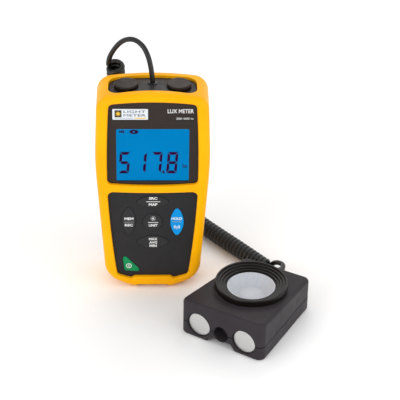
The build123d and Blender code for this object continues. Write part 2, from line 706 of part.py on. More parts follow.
TURN = math.radians(SENSOR_TURN)
SENSOR_PLANE = Plane(origin=(SENSOR_X, SENSOR_Y, 0), x_dir=(math.cos(TURN), math.sin(TURN), 0), z_dir=(0, 0, 1))
SENSOR_FRONT = -SENSOR_LENGTH / 2
SENSOR_REAR = SENSOR_LENGTH / 2
TOP_SLOPE = math.degrees(math.atan2(SENSOR_FRONT_HEIGHT - SENSOR_REAR_HEIGHT, SENSOR_LENGTH))
SENSOR_MIDDLE_HEIGHT = (SENSOR_FRONT_HEIGHT + SENSOR_REAR_HEIGHT) / 2
COLLAR_PLACE = (0, 1.4)
PAD_RADIUS = 31.0
PAD_TOP = 28.9
PAD_TAPER = 40
COLLAR_RADIUS = 25.4
COLLAR_TOP = 32.4
COLLAR_STEPS = [(23.7, 31.4), (21.8, 30.4), (19.9, 29.4), (18.0, 28.4)]
DIFFUSER_RADIUS = 16.8
MAGNET_DEPTH = 1.6
MAGNET_LENGTH = 6.0
MAGNET_RADIUS = 8.9
CABLE_ARCH = 5.4
ARCH_DEPTH = 9.0
CHANNEL_RADIUS = 6.1  # the channel in the lower shell, under the arch
TROUGH_RADIUS = 6.8
NOTCH_HALF_LOW = 11.5
NOTCH_HALF_HIGH = 7.8
NOTCH_HEIGHT = 5.0
NOTCH_DEPTH = 9.0
BOOT_SIDE = -1.0
BOOT_HEIGHT = 16.0
BOOT_RADIUS = 4.2
BOOT_NECK = 3.2
BOOT_TIP = 2.6
BOOT_LENGTH = 8.5
FRONT_BLOCK = 10.5  # depth of the solid front that holds the magnets
CAVITY_TOP = 20.4
COLLAR_SEAT = 27.5


def sensor_plane(height):
    """A level sketch plane at a height, turned with the sensor head; its Y points to the head's rear."""
    return SENSOR_PLANE.offset(height)


def sensor_face(depth, side=0, height=0):
    """An upright sketch plane facing the head's front, through a point of the head."""
    return Plane(
        origin=SENSOR_PLANE.from_local_coords(Vector(side, depth, height)),
        x_dir=SENSOR_PLANE.x_dir,
        z_dir=-SENSOR_PLANE.y_dir,
    )


def sensor_outline(inset):
    """Plan outline of the sensor head, narrower at the rear, pulled in by inset."""
    front = SENSOR_FRONT_WIDTH / 2 - inset
    rear = SENSOR_REAR_WIDTH / 2 - inset
    low = SENSOR_FRONT + inset
    high = SENSOR_REAR - inset
    with BuildSketch(Plane.XY, mode=Mode.PRIVATE) as outline:
        with BuildLine():
            Polyline((-front, low), (front, low), (rear, high), (-rear, high), close=True)
        make_face()
        fillet(outline.vertices(), max(SENSOR_CORNER - inset, 1.0))
    return outline.sketch


def sensor_cavity():
    """Plan outline of the hollow behind the magnets."""
    with BuildSketch(Plane.XY, mode=Mode.PRIVATE) as cavity:
        add(sensor_outline(SENSOR_WALL))
        with Locations((0, SENSOR_FRONT)):
            Rectangle(2 * SENSOR_FRONT_WIDTH, 2 * FRONT_BLOCK, mode=Mode.SUBTRACT)
    return cavity.sketch


SENSOR_BOSSES = [(-24.5, -21.5), (24.5, -21.5), (-21.0, 30.0), (21.0, 30.0)]
SENSOR_BOSS_RADIUS = 3.4
SENSOR_SHANK = 1.1
SENSOR_HEAD = 2.2
SENSOR_SCREW_SEAT = 2.6
SENSOR_SCREW_HEAD_HEIGHT = 1.6
SENSOR_SCREW_LENGTH = 12.0
SENSOR_CORNER = 5.0
SENSOR_TOP_ROUND = 2.6
SENSOR_BASE_ROUND = 1.2
PAD_INSET = 2.6
PARTING_GROOVE = 0.55
PARTING_DEPTH = 0.9
MAGNET_SIDES = [-DOCK_SPACING / 2, DOCK_SPACING / 2]
TOP_PLANE = sensor_plane(SENSOR_MIDDLE_HEIGHT).rotated((-TOP_SLOPE, 0, 0))

with BuildPart() as sensor_upper_shell:
    with BuildSketch(sensor_plane(PARTING_HEIGHT + SKIN)):
        add(sensor_outline(0))
    extrude(amount=SENSOR_FRONT_HEIGHT)
    with BuildSketch(TOP_PLANE):
        Rectangle(4 * SENSOR_LENGTH, 4 * SENSOR_LENGTH)
    extrude(amount=SENSOR_FRONT_HEIGHT, mode=Mode.SUBTRACT)
    fillet(sensor_upper_shell.faces().sort_by(Axis.Z)[-1].edges(), SENSOR_TOP_ROUND)
    with BuildSketch(sensor_plane(CAVITY_TOP)):
        with Locations(COLLAR_PLACE):
            Circle(PAD_RADIUS)
        add(sensor_outline(PAD_INSET), mode=Mode.INTERSECT)
    extrude(amount=PAD_TOP - CAVITY_TOP, taper=PAD_TAPER)
    with BuildSketch(sensor_plane(PARTING_HEIGHT)):
        add(sensor_cavity())
    extrude(amount=CAVITY_TOP - PARTING_HEIGHT, mode=Mode.SUBTRACT)
    with BuildSketch(sensor_plane(PARTING_HEIGHT + SKIN)):
        with Locations(*SENSOR_BOSSES):
            Circle(SENSOR_BOSS_RADIUS)
    extrude(amount=CAVITY_TOP - PARTING_HEIGHT)
    with BuildSketch(sensor_plane(PARTING_HEIGHT)):
        with Locations(*SENSOR_BOSSES):
            Circle(SENSOR_SHANK + FIT)
    extrude(amount=8.0, mode=Mode.SUBTRACT)
    with BuildSketch(sensor_plane(COLLAR_SEAT)):
        with Locations(COLLAR_PLACE):
            Circle(COLLAR_RADIUS + SKIN)
    extrude(amount=SENSOR_FRONT_HEIGHT, mode=Mode.SUBTRACT)
    with BuildSketch(sensor_plane(CAVITY_TOP - 1)):
        with Locations(COLLAR_PLACE):
            Circle(DIFFUSER_RADIUS + SKIN)
    extrude(amount=SENSOR_FRONT_HEIGHT, mode=Mode.SUBTRACT)
    for side in MAGNET_SIDES:
        with BuildSketch(sensor_face(SENSOR_FRONT, side, PARTING_HEIGHT)):
            Circle(MAGNET_RADIUS + FIT)
        extrude(amount=-MAGNET_DEPTH - MAGNET_LENGTH - SKIN, mode=Mode.SUBTRACT)
    with BuildSketch(sensor_face(SENSOR_FRONT, 0, PARTING_HEIGHT)):
        Circle(CABLE_ARCH)
    extrude(amount=-ARCH_DEPTH, mode=Mode.SUBTRACT)
    with BuildSketch(sensor_face(SENSOR_REAR, BOOT_SIDE, BOOT_HEIGHT)):
        Circle(BOOT_NECK + SKIN)
    extrude(amount=2 * SENSOR_WALL, both=True, mode=Mode.SUBTRACT)
save(sensor_upper_shell, "sensor_upper_shell")

with BuildPart() as sensor_lower_shell:
    with BuildSketch(sensor_plane(0)):
        add(sensor_outline(0))
    extrude(amount=PARTING_HEIGHT - SKIN)
    fillet(sensor_lower_shell.faces().sort_by(Axis.Z)[0].edges(), SENSOR_BASE_ROUND)
    with BuildSketch(sensor_plane(PARTING_HEIGHT - PARTING_GROOVE)):
        add(sensor_outline(-SENSOR_WALL))
        add(sensor_outline(PARTING_DEPTH), mode=Mode.SUBTRACT)
    extrude(amount=PARTING_GROOVE, mode=Mode.SUBTRACT)
    with BuildSketch(sensor_plane(SENSOR_WALL)):
        add(sensor_cavity())
    extrude(amount=PARTING_HEIGHT, mode=Mode.SUBTRACT)
    with BuildSketch(sensor_plane(SENSOR_WALL - SKIN)):
        with Locations(*SENSOR_BOSSES):
            Circle(SENSOR_BOSS_RADIUS)
    extrude(amount=PARTING_HEIGHT - SENSOR_WALL)
    with BuildSketch(sensor_plane(0)):
        with Locations(*SENSOR_BOSSES):
            Circle(SENSOR_SHANK + FIT)
    extrude(amount=PARTING_HEIGHT, mode=Mode.SUBTRACT)
    with BuildSketch(sensor_plane(0)):
        with Locations(*SENSOR_BOSSES):
            Circle(SENSOR_HEAD + FIT)
    extrude(amount=SENSOR_SCREW_SEAT, mode=Mode.SUBTRACT)
    for side in MAGNET_SIDES:
        with BuildSketch(sensor_face(SENSOR_FRONT, side, PARTING_HEIGHT)):
            Circle(MAGNET_RADIUS + FIT)
        extrude(amount=-MAGNET_DEPTH - MAGNET_LENGTH - SKIN, mode=Mode.SUBTRACT)
    with BuildSketch(sensor_face(SENSOR_FRONT, 0, PARTING_HEIGHT)):
        Circle(CHANNEL_RADIUS)
    extrude(amount=-ARCH_DEPTH, mode=Mode.SUBTRACT)
    with BuildSketch(sensor_face(SENSOR_FRONT)):
        with BuildLine():
            low_left = (-NOTCH_HALF_LOW, 0)
            low_right = (NOTCH_HALF_LOW, 0)
            high_right = (NOTCH_HALF_HIGH, NOTCH_HEIGHT)
            high_left = (-NOTCH_HALF_HIGH, NOTCH_HEIGHT)
            Polyline(low_left, low_right, high_right, high_left, close=True)
        make_face()
        with Locations((0, PARTING_HEIGHT)):
            Circle(TROUGH_RADIUS, mode=Mode.SUBTRACT)
    extrude(amount=-NOTCH_DEPTH, mode=Mode.SUBTRACT)
save(sensor_lower_shell, "sensor_lower_shell")

with BuildPart() as sensor_screws:
    screw_size = (SENSOR_HEAD, SENSOR_SCREW_HEAD_HEIGHT, SENSOR_SHANK, SENSOR_SCREW_LENGTH)
    for u, v in SENSOR_BOSSES:
        seat = SENSOR_PLANE.from_local_coords(Vector(u, v, SENSOR_SCREW_SEAT - SKIN))
        add(pan_screw(tuple(seat), (0, 0, 1), *screw_size))
save(sensor_screws, "sensor_screws")


def collar_plane():
    """An upright profile plane through the collar's axis."""
    place = SENSOR_PLANE.from_local_coords(Vector(COLLAR_PLACE[0], COLLAR_PLACE[1], 0))
    return profile_plane(place.X, place.Y, 0)


COLLAR_AXIS = Axis(collar_plane().origin, (0, 0, 1))

with BuildPart() as sensor_collar:
    with BuildSketch(collar_plane()):
        with BuildLine():
            seat = COLLAR_SEAT + SKIN
            outline = [(DIFFUSER_RADIUS + SKIN, seat), (COLLAR_RADIUS, seat), (COLLAR_RADIUS, COLLAR_TOP - 0.8)]
            outline += [(COLLAR_RADIUS - 0.4, COLLAR_TOP)]
            level = COLLAR_TOP
            for radius, step_level in COLLAR_STEPS:
                outline += [(radius + 0.15, level), (radius - 0.15, step_level)]
                level = step_level
            outline += [(DIFFUSER_RADIUS + SKIN, level)]
            Polyline(*outline, close=True)
        make_face()
    revolve(axis=COLLAR_AXIS)
save(sensor_collar, "sensor_collar")

DIFFUSER_RIM = 28.2
DIFFUSER_EYE = 8.7
DIFFUSER_EYE_LEVEL = 21.7
DIFFUSER_CROWN = 22.6
DIFFUSER_BASE = 20.0

with BuildPart() as diffuser:
    with BuildSketch(collar_plane()):
        with BuildLine():
            Polyline(
                (0, DIFFUSER_BASE),
                (DIFFUSER_EYE + 0.8, DIFFUSER_BASE),
                (DIFFUSER_RADIUS, DIFFUSER_RIM - 2.2),
                (DIFFUSER_RADIUS, DIFFUSER_RIM),
                (DIFFUSER_RADIUS - 0.7, DIFFUSER_RIM),
                (DIFFUSER_EYE, DIFFUSER_EYE_LEVEL),
            )
            eye_edge = (DIFFUSER_EYE, DIFFUSER_EYE_LEVEL)
            SagittaArc((0, DIFFUSER_CROWN), eye_edge, 0.35)
            Line((0, DIFFUSER_CROWN), (0, DIFFUSER_BASE))
        make_face()
    revolve(axis=COLLAR_AXIS)
save(diffuser, "diffuser")

BOARD_LEVEL = 13.2
SENSOR_BOARD = (32.0, 43.0)
SENSOR_BOARD_PLACE = (0, 2.5)
FILTER_RADIUS = 6.0
FILTER_THICKNESS = 1.1
DETECTOR_BASE_RADIUS = 4.6
DETECTOR_BASE = 0.8
DETECTOR_RADIUS = 4.1
DETECTOR_LEVEL = BOARD_LEVEL + BOARD_THICKNESS + SKIN
FILTER_LEVEL = DIFFUSER_BASE - FILTER_THICKNESS - SKIN

with BuildPart() as optical_filter:
    with BuildSketch(sensor_plane(FILTER_LEVEL)):
        with Locations(COLLAR_PLACE):
            Circle(FILTER_RADIUS)
    extrude(amount=FILTER_THICKNESS)
save(optical_filter, "optical_filter")

with BuildPart() as photodiode:
    with BuildSketch(sensor_plane(DETECTOR_LEVEL)):
        with Locations(COLLAR_PLACE):
            Circle(DETECTOR_BASE_RADIUS)
    extrude(amount=DETECTOR_BASE)
    with BuildSketch(sensor_plane(DETECTOR_LEVEL)):
        with Locations(COLLAR_PLACE):
            Circle(DETECTOR_RADIUS)
    extrude(amount=FILTER_LEVEL - SKIN - DETECTOR_LEVEL)
save(photodiode, "photodiode")

with BuildPart() as sensor_board:
    with BuildSketch(sensor_plane(BOARD_LEVEL)):
        with Locations(SENSOR_BOARD_PLACE):
            RectangleRounded(*SENSOR_BOARD, 1.5)
    extrude(amount=BOARD_THICKNESS)
save(sensor_board, "sensor_board")

for side, label in zip(MAGNET_SIDES, ("dock_magnet_left", "dock_magnet_right")):
    with BuildPart() as magnet:
        with BuildSketch(sensor_face(SENSOR_FRONT + MAGNET_DEPTH, side, PARTING_HEIGHT)):
            Circle(MAGNET_RADIUS)
        extrude(amount=-MAGNET_LENGTH)
        chamfer(magnet.faces().sort_by(Axis(SENSOR_PLANE.origin, SENSOR_PLANE.y_dir))[0].edges(), 0.5)
    save(magnet, label)

BOOT_AXIS = Axis(SENSOR_PLANE.from_local_coords(Vector(BOOT_SIDE, SENSOR_REAR, BOOT_HEIGHT)), SENSOR_PLANE.y_dir)

with BuildPart() as strain_relief:
    boot_origin = SENSOR_PLANE.from_local_coords(Vector(BOOT_SIDE, SENSOR_REAR, BOOT_HEIGHT))
    with BuildSketch(Plane(origin=boot_origin, x_dir=SENSOR_PLANE.y_dir, z_dir=SENSOR_PLANE.x_dir)):
        with BuildLine():
            inside = -SENSOR_WALL - SKIN
            Polyline(
                (inside - 1.2, 0),
                (inside - 1.2, BOOT_RADIUS),
                (inside, BOOT_RADIUS),
                (inside, BOOT_NECK),
                (SKIN, BOOT_NECK),
                (SKIN, BOOT_RADIUS),
                (2.0, BOOT_RADIUS),
                (BOOT_LENGTH, BOOT_TIP),
                (BOOT_LENGTH, 0),
                close=True,
            )
        make_face()
    revolve(axis=BOOT_AXIS)
save(strain_relief, "strain_relief")

# ------------------------------------------------------------------ cord

BOOT_END = SENSOR_PLANE.from_local_coords(Vector(BOOT_SIDE, SENSOR_REAR + BOOT_LENGTH + CORD_GAP, BOOT_HEIGHT))

# From the grommet up and over to the top end of the coil
TAIL_TOP = [
    (0, CORD_LINE, GROMMET_TOP + CORD_GAP / 2),
    (-0.5, 3.8, 162.6),
    (-2.6, 6.4, 173.0),
    (-6.6, 10.6, 180.0),
    (-13.0, 16.2, 182.2),
    (-19.4, 21.2, 178.0),
    (-24.8, 25.0, 169.8),
    (-29.6, 28.2, 161.6),
    (-30.9, 28.9, 156.1),
]

# The coil's centre line, from behind the meter's top down to the floor and out to the right
COIL_ROUTE = [
    (-26.0, 29.0, 155.0),
    (-25.4, 35.0, 134.0),
    (-22.0, 42.6, 112.0),
    (-15.0, 50.5, 91.0),
    (-6.5, 58.0, 70.0),
    (2.5, 65.0, 49.0),
    (10.8, 70.2, 28.8),
    (18.3, 69.4, 18.6),
    (27.3, 64.4, 10.8),
    (36.4, 56.6, 6.9),
    (48.0, 41.4, 6.9),
    (61.0, 25.2, 6.9),
    (72.5, 10.0, 6.9),
    (83.4, -4.2, 6.9),
]

# From the coil's lower end round to the sensor head's strain relief
TAIL_SENSOR = [
    (88.0, -3.3, 8.2),
    (88.4, -4.0, 13.2),
    (91.4, -8.4, 16.8),
    (94.9, -14.2, 17.2),
    tuple(BOOT_END),
]


def corner_radii(route):
    """The radius of each corner's arc: as large as the shorter of its two runs allows."""
    radii = []
    for before, corner, after in zip(route, route[1:], route[2:]):
        run_in = Vector(*corner) - Vector(*before)
        run_out = Vector(*after) - Vector(*corner)
        half_turn = math.radians(run_in.get_angle(run_out)) / 2
        radii.append(0.45 * min(run_in.length, run_out.length) / math.tan(half_turn))
    return radii


CORD_PARTS = [
    ("cord_tail_top", TAIL_TOP, WIRE_RADIUS),
    ("cord_coil", COIL_ROUTE, COIL_RADIUS),
    ("cord_tail_sensor", TAIL_SENSOR, WIRE_RADIUS),
]
for label, route, radius in CORD_PARTS:
    radii = corner_radii(route)
    with BuildPart() as cord:
        with BuildLine() as path:
            FilletPolyline(*route, radius=radii)
        with BuildSketch(Plane(origin=path.line @ 0, z_dir=path.line % 0)):
            Circle(radius)
        sweep()
    save(cord, label)
    length = sum(edge.length for edge in path.edges())
    expected = math.pi * radius**2 * length
    print(label, "length", round(length, 1), "radii", [round(r, 1) for r in radii])
    print(label, "volume", round(cord.part.volume, 1), "section times length", round(expected, 1))
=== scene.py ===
import math

import bmesh
import bpy
import numpy as np
from mathutils import Matrix, Vector


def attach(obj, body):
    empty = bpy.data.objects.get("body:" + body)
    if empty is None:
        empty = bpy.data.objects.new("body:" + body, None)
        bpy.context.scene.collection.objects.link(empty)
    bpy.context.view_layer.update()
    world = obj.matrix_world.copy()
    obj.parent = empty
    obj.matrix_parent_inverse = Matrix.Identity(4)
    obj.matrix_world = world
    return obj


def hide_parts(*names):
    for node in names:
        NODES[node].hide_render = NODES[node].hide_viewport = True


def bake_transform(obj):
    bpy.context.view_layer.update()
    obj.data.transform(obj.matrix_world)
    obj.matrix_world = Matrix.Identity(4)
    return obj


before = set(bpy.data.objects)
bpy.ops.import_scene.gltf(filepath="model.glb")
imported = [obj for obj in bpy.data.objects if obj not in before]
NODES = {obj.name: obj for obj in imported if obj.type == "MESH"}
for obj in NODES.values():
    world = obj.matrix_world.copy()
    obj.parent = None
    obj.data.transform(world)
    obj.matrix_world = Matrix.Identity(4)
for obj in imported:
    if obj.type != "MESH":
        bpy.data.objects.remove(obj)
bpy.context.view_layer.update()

# The light meter's looks: materials, display, printing, coiled cord, floor, lights and camera.
# Shapes are given in millimetres in the shared frame: X to the right, Y to the back, Z up.

MM = 0.001
scene = bpy.context.scene
scene.view_settings.view_transform = "Standard"

# ---------------------------------------------------------------- camera

CAMERA_PLACE = (-1.1 * MM, -1015.4 * MM, 684.3 * MM)
CAMERA_PAN = 0.0343
CAMERA_TILT = 0.549
CAMERA_ROLL = 0.0172
CAMERA_LENS = 150.3

forward = Vector((
    math.sin(CAMERA_PAN) * math.cos(CAMERA_TILT),
    math.cos(CAMERA_PAN) * math.cos(CAMERA_TILT),
    -math.sin(CAMERA_TILT),
))
level_right = Vector((math.cos(CAMERA_PAN), -math.sin(CAMERA_PAN), 0))
level_up = level_right.cross(forward)
camera_right = level_right * math.cos(CAMERA_ROLL) + level_up * math.sin(CAMERA_ROLL)
camera_up = level_up * math.cos(CAMERA_ROLL) - level_right * math.sin(CAMERA_ROLL)
camera_data = bpy.data.cameras.new("camera")
camera_data.lens = CAMERA_LENS
camera_data.sensor_width = 36
camera_data.clip_start = 0.01
camera_data.clip_end = 20
camera = bpy.data.objects.new("camera", camera_data)
scene.collection.objects.link(camera)
camera_axes = Matrix((camera_right, camera_up, -forward)).transposed().to_4x4()
camera.matrix_world = Matrix.Translation(CAMERA_PLACE) @ camera_axes
scene.camera = camera

# ---------------------------------------------------------------- mesh helpers


def new_object(name, mesh):
    """A mesh object in the scene's collection."""
    obj = bpy.data.objects.new(name, mesh)
    scene.collection.objects.link(obj)
    return obj


def smooth(mesh, angle=35):
    """Smooth shading, with edges sharper than angle kept sharp."""
    for polygon in mesh.polygons:
        polygon.use_smooth = True
    mesh.set_sharp_from_angle(angle=math.radians(angle))


def finish_mesh(name, bm, material, angle=35):
    """Turns a bmesh into an object with a material."""
    mesh = bpy.data.meshes.new(name)
    bmesh.ops.recalc_face_normals(bm, faces=bm.faces)
    bm.to_mesh(mesh)
    bm.free()
    smooth(mesh, angle)
    mesh.materials.append(material)
    return new_object(name, mesh)


# ---------------------------------------------------------------- materials


def linear(red, green, blue):
    """A display colour of 0 to 255 as a linear colour with alpha."""
    levels = []
    for value in (red, green, blue):
        value = value / 255
        levels.append(value / 12.92 if value <= 0.04045 else ((value + 0.055) / 1.055) ** 2.4)
    return (*levels, 1.0)


class Shader:
    """A Principled material with helpers for procedural colour, roughness and bump."""

    def __init__(self, name, **sockets):
        self.material = bpy.data.materials.new(name)
        self.material.use_nodes = True
        self.tree = self.material.node_tree
        self.bsdf = self.tree.nodes["Principled BSDF"]
        self.place = self.tree.nodes.new("ShaderNodeTexCoord").outputs["Object"]
        self.normal = None
        for socket, value in sockets.items():
            self.bsdf.inputs[socket.replace("_", " ")].default_value = value

    def node(self, kind, **settings):
        node = self.tree.nodes.new(kind)
        for key, value in settings.items():
            if hasattr(node, key):
                setattr(node, key, value)
            else:
                node.inputs[key.replace("_", " ")].default_value = value
        return node

    def link(self, source, target):
        self.tree.links.new(source, target)

    def noise(self, scale, detail=3.0, stretch=(1, 1, 1), rough=0.55):
        place = self.place
        if stretch != (1, 1, 1):
            mapping = self.node("ShaderNodeMapping", vector_type="POINT")
            mapping.inputs["Scale"].default_value = stretch
            self.link(place, mapping.inputs["Vector"])
            place = mapping.outputs["Vector"]
        noise = self.node("ShaderNodeTexNoise", Scale=scale, Detail=detail, Roughness=rough)
        self.link(place, noise.inputs["Vector"])
        return noise.outputs["Fac"]

    def spread(self, source, low, high):
        """A noise's middle values spread from low to high."""
        span = self.node("ShaderNodeMapRange")
        span.inputs["From Min"].default_value = 0.3
        span.inputs["From Max"].default_value = 0.7
        span.inputs["To Min"].default_value = low
        span.inputs["To Max"].default_value = high
        self.link(source, span.inputs["Value"])
        return span.outputs["Result"]

    def mix(self, factor, first, second):
        mix = self.node("ShaderNodeMix", data_type="RGBA")
        self.link(factor, mix.inputs[0])
        for value, socket in ((first, mix.inputs[6]), (second, mix.inputs[7])):
            if isinstance(value, tuple):
                socket.default_value = value
            else:
                self.link(value, socket)
        return mix.outputs[2]

    def color(self, source):
        self.link(source, self.bsdf.inputs["Base Color"])

    def roughness(self, source):
        self.link(source, self.bsdf.inputs["Roughness"])

    def bump(self, source, distance, strength=1.0):
        bump = self.node("ShaderNodeBump", Distance=distance, Strength=strength)
        self.link(source, bump.inputs["Height"])
        if self.normal is not None:
            self.link(self.normal, bump.inputs["Normal"])
        self.normal = bump.outputs["Normal"]
        self.link(self.normal, self.bsdf.inputs["Normal"])


def moulded(name, base, shade, gloss=(0.42, 0.56), grain=2600, depth=0.00004, mottle=55, **sockets):
    """A moulded plastic or rubber: mottled colour, fine grain and slightly uneven gloss."""
    shader = Shader(name, **sockets)
    cloud = shader.noise(mottle, detail=4.0)
    shader.color(shader.mix(shader.spread(cloud, 0.0, 1.0), base, shade))
    shader.roughness(shader.spread(shader.noise(mottle * 3.1, detail=3.0), *gloss))
    shader.bump(shader.noise(grain, detail=2.0), depth, strength=0.35)
    shader.bump(shader.noise(mottle * 1.7, detail=2.0), depth * 2.2, strength=0.25)
    return shader.material


def brushed(name, base, shade, stretch, gloss=(0.24, 0.38)):
    """A metal with fine parallel scratches along one direction."""
    shader = Shader(name, Metallic=1.0)
    scratch = shader.noise(scale=900, detail=3.0, stretch=stretch)
    shader.color(shader.mix(shader.spread(scratch, 0.0, 1.0), base, shade))
    shader.roughness(shader.spread(shader.noise(scale=160, detail=3.0), *gloss))
    shader.bump(scratch, distance=0.00002, strength=0.5)
    return shader.material


SHEATH = moulded(
    "sheath_rubber", linear(250, 178, 0), linear(247, 169, 0), gloss=(0.34, 0.44), grain=3000, depth=0.00003,
    mottle=38, Specular_IOR_Level=0.1,
)
CASE = moulded(
    "case_plastic", linear(40, 36, 36), linear(34, 31, 31), grain=2400, depth=0.00005, Specular_IOR_Level=0.3,
)
BEZEL = moulded(
    "bezel_plastic", linear(43, 33, 27), linear(37, 29, 25), gloss=(0.34, 0.44), grain=2800, depth=0.00002,
    Specular_IOR_Level=0.25,
)
KEYPAD = moulded(
    "keypad_rubber", linear(37, 36, 38), linear(32, 31, 33), gloss=(0.46, 0.58), grain=2200,
    Specular_IOR_Level=0.25,
)
KEY_DARK = moulded(
    "key_rubber_dark", linear(39, 38, 40), linear(34, 33, 35), gloss=(0.42, 0.54), grain=2200,
    Specular_IOR_Level=0.3,
)
KEY_BLUE = moulded(
    "key_rubber_blue", linear(0, 146, 218), linear(0, 138, 210), gloss=(0.4, 0.5), grain=2600,
    Specular_IOR_Level=0.15,
)
KEY_GREEN = moulded(
    "key_rubber_green", linear(6, 138, 82), linear(4, 128, 76), gloss=(0.4, 0.5), grain=2600,
    Specular_IOR_Level=0.2,
)
PRINT = moulded(
    "white_print", linear(238, 238, 236), linear(222, 222, 222), gloss=(0.45, 0.55), depth=0.00001,
)
PRINT_GREY = moulded(
    "grey_print", linear(150, 150, 152), linear(132, 132, 134), gloss=(0.45, 0.55), depth=0.00001,
)
BADGE = moulded("badge_face", linear(218, 224, 232), linear(207, 213, 221), gloss=(0.28, 0.36), depth=0.00001)
BADGE_DARK = moulded("badge_dark", linear(26, 24, 24), linear(18, 16, 16), gloss=(0.4, 0.5), depth=0.00001)
BADGE_YELLOW = moulded(
    "badge_yellow", linear(240, 190, 30), linear(228, 176, 22), gloss=(0.3, 0.4), depth=0.00001,
)
WHITE_PLASTIC = moulded("white_plastic", linear(225, 225, 222), linear(212, 212, 208))
BOARD = moulded("circuit_board", linear(24, 92, 60), linear(18, 74, 48), gloss=(0.25, 0.35), mottle=400)
CELL = moulded("cell_sleeve", linear(38, 38, 42), linear(30, 30, 34), gloss=(0.2, 0.3))
SENSOR_CASE = moulded(
    "sensor_plastic", linear(57, 53, 56), linear(50, 46, 49), gloss=(0.34, 0.44), grain=2400, depth=0.00005,
    Specular_IOR_Level=0.07,
)
COLLAR = moulded(
    "collar_plastic", linear(22, 16, 14), linear(16, 12, 11), gloss=(0.28, 0.38), depth=0.00003,
    Specular_IOR_Level=0.2,
)
# Painted shade: near-black for the strip that stands in for the shadow in the sensor head's seam groove.
SEAM_SHADE = moulded("seam_shadow", linear(12, 11, 12), linear(8, 7, 8), gloss=(0.6, 0.7), Specular_IOR_Level=0.05)
CORD_RUBBER = moulded(
    "cord_rubber", linear(20, 18, 18), linear(15, 14, 14), gloss=(0.3, 0.4), grain=3200, mottle=90,
    Specular_IOR_Level=0.42,
)
CAP_METAL = brushed("cap_metal", linear(58, 50, 46), linear(49, 43, 40), (0.08, 1, 1), (0.35, 0.5))
STEEL = brushed("plated_steel", linear(190, 190, 192), linear(160, 160, 164), (1, 0.1, 1))
MAGNET = brushed("magnet_plating", linear(214, 213, 212), linear(205, 204, 203), (0.1, 0.1, 1), (0.34, 0.46))
FILTER = moulded("filter_glass", linear(120, 160, 120), linear(110, 150, 112), gloss=(0.08, 0.12))
DETECTOR = moulded("detector_die", linear(40, 42, 60), linear(30, 32, 48), gloss=(0.15, 0.25))
LIGHT_GUIDE = moulded("light_guide", linear(190, 215, 235), linear(180, 205, 228), gloss=(0.15, 0.25))


def lcd_material():
    """The backlit panel: an even blue glow, faintly mottled."""
    shader = Shader("lcd_glow", Emission_Strength=0.93, Roughness=0.35)
    shader.bsdf.inputs["Specular IOR Level"].default_value = 0.0
    cloud = shader.spread(shader.noise(scale=26, detail=2.0), 0.0, 1.0)
    glow = shader.mix(cloud, linear(1, 137, 203), linear(0, 131, 196))
    shader.link(glow, shader.bsdf.inputs["Emission Color"])
    shader.color(shader.mix(shader.noise(scale=300, detail=1.0), linear(0, 30, 60), linear(0, 24, 52)))
    return shader.material


def ink_material():
    """The dark segments of the display."""
    shader = Shader("lcd_ink", Roughness=0.5)
    shader.bsdf.inputs["Specular IOR Level"].default_value = 0.05
    cloud = shader.spread(shader.noise(scale=700, detail=2.0), 0.0, 1.0)
    shader.color(shader.mix(cloud, linear(52, 2, 58), linear(44, 0, 50)))
    return shader.material


def window_material():
    """The clear pane over the display, which reflects and bends light very little."""
    shader = Shader("window_glass", IOR=1.06)
    shader.bsdf.inputs["Transmission Weight"].default_value = 1.0
    shader.roughness(shader.spread(shader.noise(scale=60, detail=2.0), 0.01, 0.03))
    shader.color(shader.mix(shader.noise(scale=40, detail=2.0), linear(250, 252, 254), linear(246, 250, 253)))
    return shader.material


LCD = lcd_material()
INK = ink_material()
WINDOW = window_material()

# Where the sensor head lies at rest, and the directions to its own side and back
SENSOR_CENTRE = Vector((67.6, -58.8, 0)) * MM
SENSOR_TURN = math.radians(-34.0)
SENSOR_SIDE = Vector((math.cos(SENSOR_TURN), math.sin(SENSOR_TURN), 0))
SENSOR_BACK = Vector((-math.sin(SENSOR_TURN), math.cos(SENSOR_TURN), 0))
DISH_BACK = 1.4  # from the head's middle to the dish's middle
DISH_CENTRE = SENSOR_CENTRE + SENSOR_BACK * DISH_BACK * MM


def diffuser_material():
    """Opal plastic with faint streaks that run out from the middle of the dish."""
    shader = Shader("opal_plastic")
    shader.bsdf.inputs["Subsurface Weight"].default_value = 0.25
    shader.bsdf.inputs["Subsurface Radius"].default_value = (0.003, 0.003, 0.003)
    shift = shader.node("ShaderNodeMapping", vector_type="POINT")
    shift.inputs["Location"].default_value = (-DISH_CENTRE.x, -DISH_CENTRE.y, 0)
    shader.link(shader.place, shift.inputs["Vector"])
    split = shader.node("ShaderNodeSeparateXYZ")
    shader.link(shift.outputs["Vector"], split.inputs["Vector"])
    angle = shader.node("ShaderNodeMath", operation="ARCTAN2")
    shader.link(split.outputs["Y"], angle.inputs[0])
    shader.link(split.outputs["X"], angle.inputs[1])
    join = shader.node("ShaderNodeCombineXYZ")
    shader.link(angle.outputs[0], join.inputs["X"])
    streak = shader.node("ShaderNodeTexNoise", Scale=9.0, Detail=2.0)
    shader.link(join.outputs["Vector"], streak.inputs["Vector"])
    shade = shader.spread(streak.outputs["Fac"], 0.0, 1.0)
    shader.color(shader.mix(shade, linear(180, 184, 192), linear(190, 194, 201)))
    shader.roughness(shader.spread(shader.noise(scale=240, detail=2.0), 0.3, 0.42))
    shader.bump(streak.outputs["Fac"], distance=0.00003, strength=0.3)
    return shader.material


DIFFUSER = diffuser_material()

